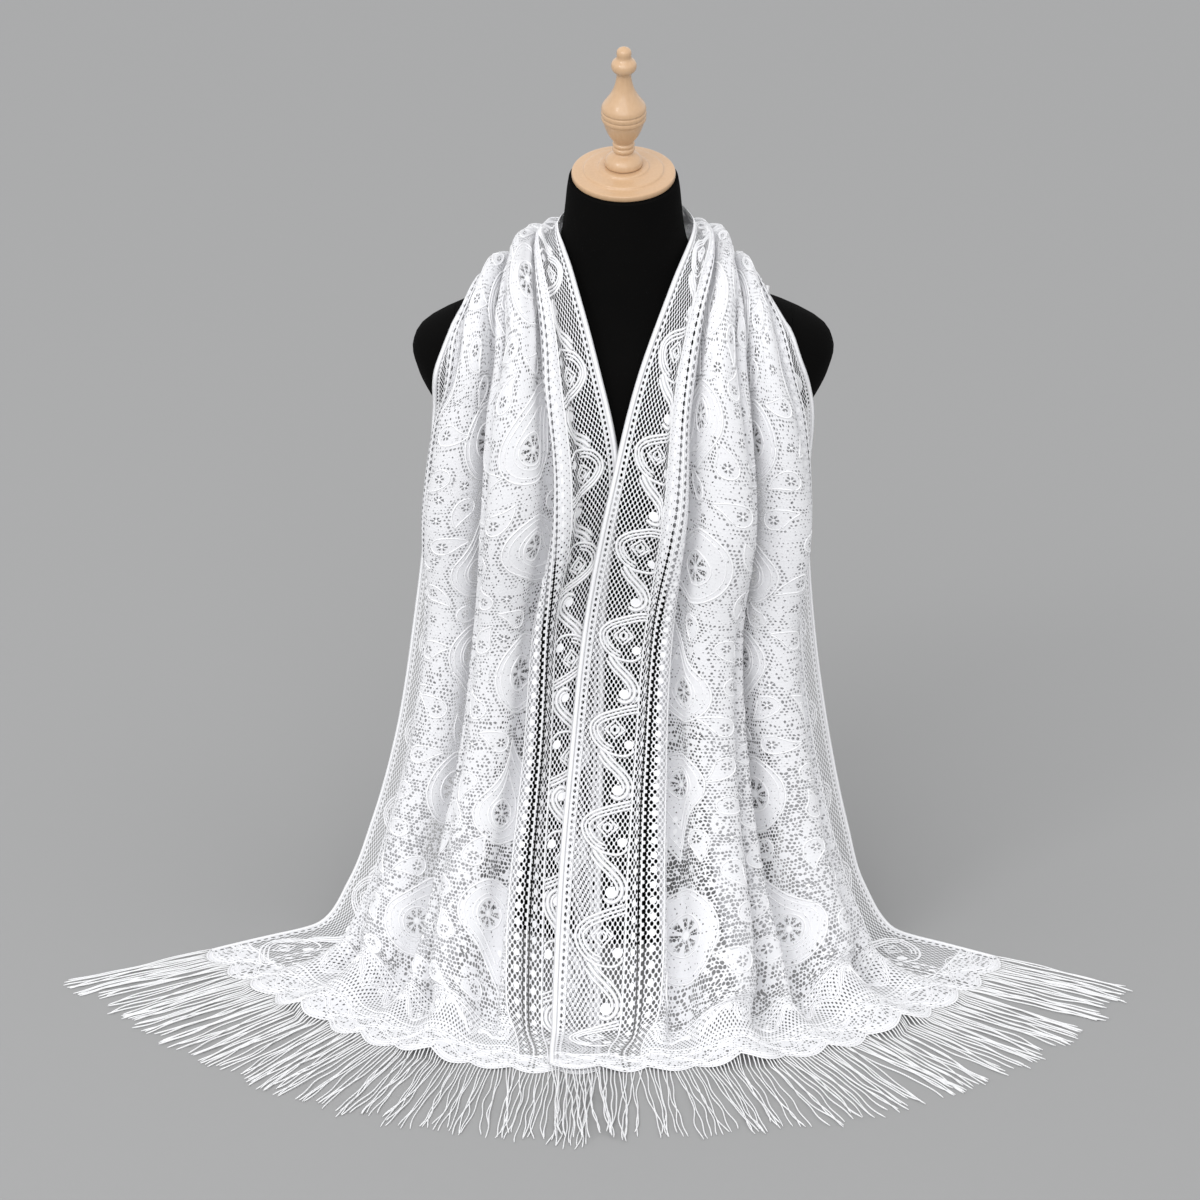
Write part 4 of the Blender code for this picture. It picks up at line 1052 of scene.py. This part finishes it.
def fringe_mesh(name, cloth, side, seed, longer):
    """All strands of one end as one mesh of thin tubes, wavy, in loose clusters."""
    random = np.random.default_rng(seed)
    numbers = np.arange(STRANDS)
    shares = (numbers + 0.5) / STRANDS
    roots, _ = cloth.at(shares * CLOTH_WIDTH, side * (hem_v(shares) - STRAND_START))
    ways = fringe_ways(cloth, side)
    cluster = (numbers + random.integers(0, 3, STRANDS)) // CLUSTER
    clusters = cluster.max() + 1
    lean = random.normal(0, CLUSTER_LEAN, clusters)[cluster] + random.normal(0, STRAND_LEAN, STRANDS)
    place = numbers - (cluster + 0.5) * CLUSTER
    gather = -place / CLUSTER * random.uniform(0.0, CLUSTER_GATHER, clusters)[cluster]
    corner = smoothstep(1 - np.minimum(shares, 1 - shares) / CORNER_REACH)
    spread = random.normal(0, STRAND_LENGTH_SPREAD, STRANDS)
    length = STRAND_LENGTH * (1 + spread + longer * corner)
    phase = random.uniform(0, 2 * math.pi, (STRANDS, 3))
    wave = random.uniform(0.3, 1.0, (STRANDS, 3))
    s = np.linspace(0, 1, STRAND_STEPS + 1)
    rings = STRAND_STEPS + 1
    points, faces = [], []
    for k, way in enumerate(ways):
        sideways, fine, upwards = (
            depth * wave[k, number] * np.sin(turns * s + phase[k, number])
            for number, (depth, turns) in enumerate(STRAND_WAVES)
        )
        bend = (lean[k] + gather[k]) * s * (1 - LEAN_EASES * s) * length[k]
        bend = bend + sideways * s + fine * np.sqrt(s)
        run = s * length[k]
        line = roots[k] + way * run[:, None] + np.array((-way[1], way[0], 0.0)) * bend[:, None]
        fall = smoothstep(run / STRAND_ROOT)
        rest = STRAND_RADIUS + STRAND_GAP + over_left_end(line[:, 0]) * (side > 0)
        rest = rest + STRAND_WAVES[2][0] * wave[k, 2] + upwards
        line[:, 2] = roots[k, 2] * (1 - fall) + rest * fall
        tangent = unit(np.gradient(line, axis=0))
        across = unit(np.cross(tangent, (0, 0, 1.0)))
        up = np.cross(across, tangent)
        radius = STRAND_RADIUS * np.where(s < 1, 1.0, 0.5)[:, None]
        angles = 2 * math.pi * np.arange(STRAND_SIDES) / STRAND_SIDES + math.pi / 2
        ring = [line + (across * math.cos(angle) + up * math.sin(angle)) * radius for angle in angles]
        points.append(np.stack(ring, axis=1).reshape(-1, 3))
        # These rings turn left about their strand, so their faces are reversed to point outwards
        faces += [face[::-1] for face in tube_faces(k * rings * STRAND_SIDES, rings, STRAND_SIDES)]
    return mesh_piece(name, np.vstack(points), faces)


# Finer dress form and turned pieces
FORM_SIDES = 120
FORM_RING_STEP = 0.006
TURNED_SIDES = 96
SHARP_ANGLE = 50
CAP_PROFILE = (
    (-0.0060, 0.0), (-0.0060, 0.0462), (-0.0048, 0.0470), (-0.0012, 0.0470), (0.0000, 0.0460),
    (0.0004, 0.0368), (0.0026, 0.0360), (0.0032, 0.0345), (0.0036, 0.0238), (0.0056, 0.0230),
    (0.0062, 0.0215), (0.0062, 0.0),
)
FINIAL_PROFILE = (
    (0.0065, 0.0), (0.0065, 0.0166), (0.0085, 0.0174), (0.0125, 0.0166), (0.0160, 0.0136),
    (0.0188, 0.0088), (0.0204, 0.0082), (0.0220, 0.0102), (0.0244, 0.0102), (0.0258, 0.0088),
    (0.0272, 0.0100), (0.0290, 0.0100), (0.0304, 0.0084), (0.0330, 0.0104), (0.0400, 0.0150),
    (0.0480, 0.0178), (0.0520, 0.0186), (0.0532, 0.0201), (0.0558, 0.0202), (0.0570, 0.0194),
    (0.0582, 0.0204), (0.0610, 0.0204), (0.0622, 0.0194), (0.0636, 0.0203), (0.0656, 0.0199),
    (0.0680, 0.0190), (0.0740, 0.0146), (0.0800, 0.0110), (0.0870, 0.0082), (0.0955, 0.0065),
    (0.1000, 0.0070), (0.1030, 0.0106), (0.1070, 0.0116), (0.1110, 0.0106), (0.1140, 0.0070),
    (0.1165, 0.0063), (0.1200, 0.0069), (0.1236, 0.0056), (0.1260, 0.0),
)


def form_mesh(name):
    """The whole form as one closed smooth mesh with flat ends."""
    count = int(FORM_HEIGHT / FORM_RING_STEP)
    heights = np.linspace(0, FORM_HEIGHT, count + 1)[:, None]
    half, front, back = form_outline(heights)
    angles = 2 * math.pi * np.arange(FORM_SIDES) / FORM_SIDES
    x = form_centre(heights) + half * np.cos(angles)
    y = np.sin(angles) * np.where(np.sin(angles) > 0, back, front)
    z = heights + neck_drop(y, heights)
    return mesh_piece(name, np.stack([x, y, z], axis=2).reshape(-1, 3), tube_faces(0, count + 1, FORM_SIDES))


def cut_flat(form, side, keep_outside, gap):
    """Cuts the form at the upright plane of one armhole and closes the cut with a flat face."""
    edit = bmesh.new()
    edit.from_mesh(form.data)
    bmesh.ops.bisect_plane(
        edit,
        geom=[*edit.verts, *edit.edges, *edit.faces],
        plane_co=(FORM_SHIFT + side * (ARM_PLANE_X + gap), 0, 0),
        plane_no=(side, 0, 0),
        clear_inner=keep_outside,
        clear_outer=not keep_outside,
    )
    bmesh.ops.edgenet_fill(edit, edges=[edge for edge in edit.edges if edge.is_boundary])
    bmesh.ops.recalc_face_normals(edit, faces=edit.faces)
    edit.to_mesh(form.data)
    edit.free()


def softened(profile, passes=2):
    """The profile with its corners cut twice, so that turned edges catch a soft light."""
    profile = np.array(profile, float)
    for _ in range(passes):
        low, high = profile[:-1], profile[1:]
        cut = np.stack([low * 0.75 + high * 0.25, low * 0.25 + high * 0.75], axis=1).reshape(-1, 2)
        profile = np.vstack([profile[:1], cut, profile[-1:]])
    return profile


def turned(name, profile):
    """A closed turned piece. The profile's rows are a distance along the axis and a radius."""
    points, faces, rings = [], [], []
    for height, radius in softened(profile):
        sides = TURNED_SIDES if radius else 1
        rings.append([*range(len(points), len(points) + sides)])
        for angle in 2 * math.pi * np.arange(sides) / TURNED_SIDES:
            points.append((radius * math.cos(angle), radius * math.sin(angle), height))
    for low, high in zip(rings, rings[1:]):
        for number in range(TURNED_SIDES):
            a, b = low[number % len(low)], low[(number + 1) % len(low)]
            c, d = high[(number + 1) % len(high)], high[number % len(high)]
            faces.append(tuple(dict.fromkeys((a, b, c, d))))
    piece = mesh_piece(name, points, faces, sharp=SHARP_ANGLE)
    piece.location = (FORM_SHIFT, 0, RIM_PLANE_Z)
    piece.rotation_euler = (NECK_TILT, 0, 0)
    return piece


class Value:
    """A number in a material's nodes, so that a formula is written as it is."""

    def __init__(self, graph, socket):
        self.graph = graph
        self.socket = socket

    def __add__(self, other):
        return self.graph.math("ADD", self, other)

    def __sub__(self, other):
        return self.graph.math("SUBTRACT", self, other)

    def __rsub__(self, other):
        return self.graph.math("SUBTRACT", other, self)

    def __mul__(self, other):
        return self.graph.math("MULTIPLY", self, other)

    def __truediv__(self, other):
        return self.graph.math("DIVIDE", self, other)

    def clamped(self):
        """This value, kept from 0 to 1."""
        self.socket.node.use_clamp = True
        return self


class Graph:
    """A material's nodes, made one at a time."""

    def __init__(self, name):
        self.material = bpy.data.materials.new(name)
        self.material.use_nodes = True
        self.tree = self.material.node_tree
        self.shader = self.tree.nodes["Principled BSDF"]

    def node(self, kind, inputs=(), **settings):
        made = self.tree.nodes.new("ShaderNode" + kind)
        for name, value in settings.items():
            setattr(made, name, value)
        for name, value in inputs:
            self.join(value, made.inputs[name])
        return made

    def join(self, value, socket):
        if isinstance(value, Value):
            self.tree.links.new(value.socket, socket)
        else:
            socket.default_value = value

    def value(self, made, output=0):
        return Value(self, made.outputs[output])

    def math(self, operation, *values):
        return self.value(self.node("Math", enumerate(values), operation=operation))

    def length(self, x, y):
        """Length of a flat vector."""
        return self.math("SQRT", x * x + y * y)

    def flat(self, x, y):
        """A flat vector."""
        return self.value(self.node("CombineXYZ", (("X", x), ("Y", y))))

    def attribute(self, name):
        return self.value(self.node("Attribute", attribute_name=name), "Fac")

    def place(self):
        return self.value(self.node("TexCoord"), "Object")

    def noise(self, vector, scale, detail=2.0):
        inputs = (("Vector", vector), ("Scale", scale), ("Detail", detail))
        return self.value(self.node("TexNoise", inputs), "Fac")

    def ramp(self, value, low, high):
        """A mix of two colours by a value from 0 to 1."""
        inputs = (("Fac", value), ("Color1", (*low, 1)), ("Color2", (*high, 1)))
        return self.value(self.node("MixRGB", inputs))

    def bump(self, height, distance, strength):
        inputs = (("Height", height), ("Distance", distance), ("Strength", strength))
        self.join(self.value(self.node("Bump", inputs)), self.shader.inputs["Normal"])

    def set(self, **values):
        for name, value in values.items():
            self.join(value, self.shader.inputs[name.replace("_", " ")])


# Ground of the lace: pitch of the holes across and along, in millimetres, and their sizes
# in shares of it
NET_PITCH = (4.2, 6.8)
NET_HOLE = 0.70
FIELD_PITCH = (2.9, 3.5)
LARGEST_HOLE = 0.88
SHUT_CELLS = 0.51
SHUT_HOLE = 0.05
OPENS_OVER = 2.2
HOLE_SOFTNESS = 0.12
CONTOUR_HOLES = 2.1
CONTOUR_REACH = 0.93
CONTOUR_HOLE_SIZE = 0.72
EYELET_RIM = 0.8
EYELET_EDGE = 3.0

# How far the field's holes stray from their rows, in millimetres, and how quickly that changes
STRAY = 7.0
STRAY_SCALES = (0.055, 0.083)

# Least cover of the yarn across the holes: partly fine threads, partly painted light that keeps the holes
# lighter than the shade seen through them
FIELD_THREADS_AND_PAINTED_LIGHT = 0.16
ROW_THREADS_AND_PAINTED_LIGHT = 0.28
ROSETTE_THREADS_AND_PAINTED_LIGHT = 0.16
ROSETTE_MESH = 0.94
MESHED_FROM = 6.5
WEDGE_EDGE = 6.0
WEDGE_WIDTH = (1.6, 0.5)

# Relief of the lace: shares of the field's holes and of the yarn, and the bump's depth and strength
FIELD_RELIEF = 0.6
YARN_RELIEF = 0.8
LACE_BUMP = (0.0004, 0.5)

# Darkest and lightest colours
LACE_SHADES = ((0.753, 0.755, 0.778), (0.839, 0.840, 0.859))
CORD_SHADES = ((0.866, 0.866, 0.886), (0.955, 0.956, 0.969))
FRINGE_SHADES = ((0.94, 0.945, 0.955), (0.99, 0.99, 0.995))
COVER_SHADES = ((0.0025, 0.0025, 0.0025), (0.0050, 0.0048, 0.0046))
WOOD_SHADES = ((0.53, 0.33, 0.18), (0.68, 0.46, 0.28))
STAGE_SHADES = ((0.35223, 0.35223, 0.35223), (0.354, 0.354, 0.354))


def diamond_net(graph, x, y, pitch_x, pitch_y):
    """Distance from the nearest hole's centre in a net of long holes, each row set between the next."""
    nearest = None
    for shift in (0.0, 0.5):
        dx = graph.math("FRACT", x / pitch_x + shift) - 0.5
        dy = graph.math("FRACT", y / pitch_y + shift) - 0.5
        away = graph.length(dx, dy)
        nearest = away if nearest is None else graph.math("MINIMUM", nearest, away)
    return nearest * 2.0


def hole_lattice(graph, x, y, pitch_x, pitch_y):
    """Distance from the nearest hole's centre, 1 at the cell's side, and that hole's own number."""
    rows = y / pitch_y
    row = graph.math("FLOOR", rows)
    columns = x / pitch_x + graph.math("PINGPONG", row, 1.0) * 0.5
    dx = graph.math("FRACT", columns) - 0.5
    dy = graph.math("FRACT", rows) - 0.5
    cell = graph.flat(graph.math("FLOOR", columns), row)
    noise = graph.node("TexWhiteNoise", (("Vector", cell),), noise_dimensions="2D")
    return graph.length(dx, dy) * 2.0, graph.value(noise, "Value")


def lace_material():
    """Net, clothwork and holes of the lace, as the cover of the yarn over the cloth."""
    graph = Graph("lace")
    names = ("across", "along", "edge", "closed", "netting", "contour")
    x, y, edge, closed, netting, contour = (graph.attribute(name) for name in names)
    place = graph.flat(x, y)
    stray_x, stray_y = ((graph.noise(place, scale) - 0.5) * STRAY for scale in STRAY_SCALES)
    net = diamond_net(graph, x, y, *NET_PITCH)
    tangled, number = hole_lattice(graph, x + stray_x, y + stray_y, *FIELD_PITCH)
    size = graph.math("SQRT", (1.0 - closed).clamped()) * LARGEST_HOLE
    opened = ((number - closed * SHUT_CELLS) * OPENS_OVER).clamped()
    net_cover = hole_edge(graph, net, size * NET_HOLE)
    # The field's holes never open fully: partly fine threads, partly painted light over the shade seen
    # through them
    field_cover = graph.math("MAXIMUM", hole_edge(graph, tangled, size * (opened + SHUT_HOLE)), FIELD_THREADS_AND_PAINTED_LIGHT)
    by_netting = (("Value", netting), ("To Min", field_cover), ("To Max", net_cover))
    cover = graph.value(graph.node("MapRange", by_netting))
    past = (contour / CONTOUR_HOLES - 0.5).clamped()
    row_cover = hole_edge(graph, tangled, (CONTOUR_REACH - past) * CONTOUR_HOLE_SIZE)
    # The rows of holes stay part covered: partly fine threads, partly painted light over the shade seen
    # through them
    cover = graph.math("MINIMUM", cover, graph.math("MAXIMUM", row_cover, ROW_THREADS_AND_PAINTED_LIGHT))
    mesh = hole_edge(graph, tangled, ROSETTE_MESH)
    cover = graph.math("MINIMUM", cover, rosette_cover(graph, mesh))
    for centre, pitch, half_x, half_y, shift in EYELET_ROWS:
        dx = (edge - centre) / half_x
        dy = (graph.math("FRACT", y / pitch + shift) - 0.5) * (pitch / half_y)
        eyelet = ((dx * dx + dy * dy - EYELET_RIM) * EYELET_EDGE).clamped()
        cover = graph.math("MINIMUM", cover, eyelet)
    yarn = graph.noise(place, 1.6, 3.0)
    graph.set(
        Base_Color=graph.ramp(yarn, *LACE_SHADES),
        Roughness=0.75,
        Sheen_Weight=0.25,
        Specular_IOR_Level=0.3,
        Alpha=cover,
    )
    graph.bump(net * netting + tangled * FIELD_RELIEF + yarn * YARN_RELIEF, *LACE_BUMP)
    return graph.material


def rosette_cover(graph, mesh):
    """Cover of the yarn in the medallions and small flowers: wedge-shaped holes round a centre."""
    names = ("rosette_x", "rosette_y", "rosette_holes", "rosette_near")
    across, along, holes, near = (graph.attribute(name) for name in names)
    wedge = graph.math("COSINE", graph.math("ARCTAN2", along, across) * holes)
    low, high = ROSETTE_SPAN
    off_middle = graph.math("ABSOLUTE", graph.length(across, along) - (low + high) / 2)
    band = (high - low) / 2 - off_middle
    gain, level = WEDGE_WIDTH
    inside = graph.math("MINIMUM", band * WEDGE_EDGE, wedge * gain + level)
    hole = (graph.math("MINIMUM", inside, 1.0).clamped() * near).clamped()
    worked = graph.math("MAXIMUM", 1.0 - hole, mesh * (holes - MESHED_FROM).clamped())
    # The rosettes' holes stay part covered: partly fine threads, partly painted light over the shade seen
    # through them
    return graph.math("MAXIMUM", worked, ROSETTE_THREADS_AND_PAINTED_LIGHT)


def hole_edge(graph, distance, size):
    """Cover of the yarn round a hole of a size: 0 inside it and 1 outside."""
    return ((distance - size) / HOLE_SOFTNESS + 0.5).clamped()


def noise_material(name, shades, colour_noise, bump_noise=None, bump=None, **finish):
    """A material shaded by one noise and raised by another. A noise is its scale and detail."""
    graph = Graph(name)
    place = graph.place()
    graph.set(Base_Color=graph.ramp(graph.noise(place, *colour_noise), *shades), **finish)
    if bump:
        graph.bump(graph.noise(place, *bump_noise), *bump)
    return graph.material


def yarn_material(name, shades, scale):
    """White yarn with fine twisted strands."""
    twist = (scale, 3.0)
    finish = {"Roughness": 0.62, "Sheen_Weight": 0.3, "Specular_IOR_Level": 0.35}
    return noise_material(name, shades, twist, twist, (0.0003, 0.5), **finish)


def velvet_material():
    """Matte black pile that takes almost no light."""
    cloud, pile = (14.0, 3.0), (900.0, 3.0)
    finish = {"Roughness": 0.95, "Sheen_Weight": 0.006, "Sheen_Roughness": 0.5, "Specular_IOR_Level": 0.02}
    return noise_material("form_cover", COVER_SHADES, cloud, pile, (0.0005, 0.6), **finish)


def table_material():
    return noise_material("grey_table", STAGE_SHADES, (0.8, 2.0), Roughness=0.95, Specular_IOR_Level=0.05)


def wood_material():
    """Pale turned wood with a faint grain along its axis, under clear lacquer."""
    graph = Graph("turned_wood")
    place = graph.place()
    stretched = graph.value(graph.node("Mapping", (("Vector", place), ("Scale", (1.0, 1.0, 0.08)))))
    grain, cloud = graph.noise(stretched, 420.0, 4.0), graph.noise(place, 22.0, 3.0)
    graph.set(
        Base_Color=graph.ramp(grain * 0.6 + cloud * 0.4, *WOOD_SHADES),
        Roughness=0.42,
        Coat_Weight=0.55,
        Coat_Roughness=0.12,
        Specular_IOR_Level=0.4,
    )
    graph.bump(grain, 0.0002, 0.15)
    return graph.material


def ride_as(piece, material, slot, *nodes):
    piece.data.materials.append(material)
    if nodes:
        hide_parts(*nodes)
    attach(piece, "root")
    return piece


def build_shawl():
    cloth = Cloth()
    motifs = field_motifs()
    cord_yarn = yarn_material("cord_yarn", CORD_SHADES, 1400.0)
    fringe_yarn = yarn_material("fringe_yarn", FRINGE_SHADES, 1200.0)
    shawl = sheet_mesh(cloth, motifs)
    ride_as(shawl, lace_material(), "lace", "shawl_front_left", "shawl_nape", "shawl_front_right")
    border_cords, border_pads = border()
    field_cords, field_pads = field(motifs)
    trim = [
        cords_mesh("border_cords", cloth, border_cords + edges()),
        cords_mesh("field_cords", cloth, field_cords),
        pads_mesh("worked_pads", cloth, [*border_pads, *worked_dots(), *field_pads]),
    ]
    for piece in trim:
        ride_as(piece, cord_yarn, "lace")
    for name, node, side, seed, longer in FRINGE_ENDS:
        strands = fringe_mesh(name, cloth, side, seed, longer)
        trim.append(ride_as(strands, fringe_yarn, "fringe_yarn", node))


def build_form():
    velvet = velvet_material()
    torso = form_mesh("form_body")
    pieces = [(torso, "form_torso")]
    for side, node in ((-1, "arm_cap_left"), (1, "arm_cap_right")):
        cut_flat(torso, side, False, 0.0)
        plate = form_mesh(node.replace("cap", "plate"))
        cut_flat(plate, side, True, PIECE_GAP)
        pieces.append((plate, node))
    for piece, node in pieces:
        piece.data.shade_smooth()
        piece.data.set_sharp_from_angle(angle=math.radians(SHARP_ANGLE))
        ride_as(piece, velvet, "form_cover", node)


def build_turned_pieces():
    wood = wood_material()
    ride_as(turned("wooden_cap", CAP_PROFILE), wood, "turned_wood", "neck_cap")
    ride_as(turned("wooden_finial", FINIAL_PROFILE), wood, "turned_wood", "finial")


# Camera, stage and light
CAMERA_PLACE = (-0.0252, -3.921, 1.810)
CAMERA_TILT = math.radians(69.0)
CAMERA_LENS = 135.0
SENSOR_WIDTH = 36.0
STAGE_SIZE = 60.0
WORLD_COLOUR = (0.96, 0.965, 0.975)
WORLD_STRENGTH = 1.0

# The soft box at the upper left: place, aim, width and power
SOFT_BOX = ((-2.2, -2.6, 3.0), (0.0, 0.0, 0.45), 0.9, 26.0)

# The wide light from the front: direction, strength and spread
FRONT_FILL = ((0.12, 1.0, -0.55), 1.0, math.radians(50))


def build_stage():
    half = STAGE_SIZE / 2
    corners = [(-half, -half, 0), (half, -half, 0), (half, half, 0), (-half, half, 0)]
    floor = mesh_piece("floor", corners, [(0, 1, 2, 3)])
    floor.data.materials.append(table_material())
    world = bpy.data.worlds.new("studio")
    world.use_nodes = True
    background = world.node_tree.nodes["Background"]
    background.inputs["Color"].default_value = (*WORLD_COLOUR, 1)
    background.inputs["Strength"].default_value = WORLD_STRENGTH
    bpy.context.scene.world = world


def add_light(name, kind, way, energy, place=(0, 0, 0), **settings):
    lamp = bpy.data.lights.new(name, kind)
    lamp.energy = energy
    for setting, value in settings.items():
        setattr(lamp, setting, value)
    made = link(name, lamp)
    made.location = place
    made.rotation_euler = Vector(way).to_track_quat("-Z", "Y").to_euler()


def build_lights():
    place, aim, size, power = SOFT_BOX
    add_light("soft_box", "AREA", Vector(aim) - Vector(place), power, place, shape="SQUARE", size=size)
    way, strength, spread = FRONT_FILL
    add_light("front_fill", "SUN", way, strength, angle=spread)


def build_camera():
    lens = bpy.data.cameras.new("camera")
    lens.lens = CAMERA_LENS
    lens.sensor_width = SENSOR_WIDTH
    camera = link("camera", lens)
    camera.location = CAMERA_PLACE
    camera.rotation_euler = (CAMERA_TILT, 0, 0)
    bpy.context.scene.camera = camera


bpy.context.scene.view_settings.view_transform = "Standard"
build_camera()
build_stage()
build_lights()
build_form()
build_turned_pieces()
build_shawl()
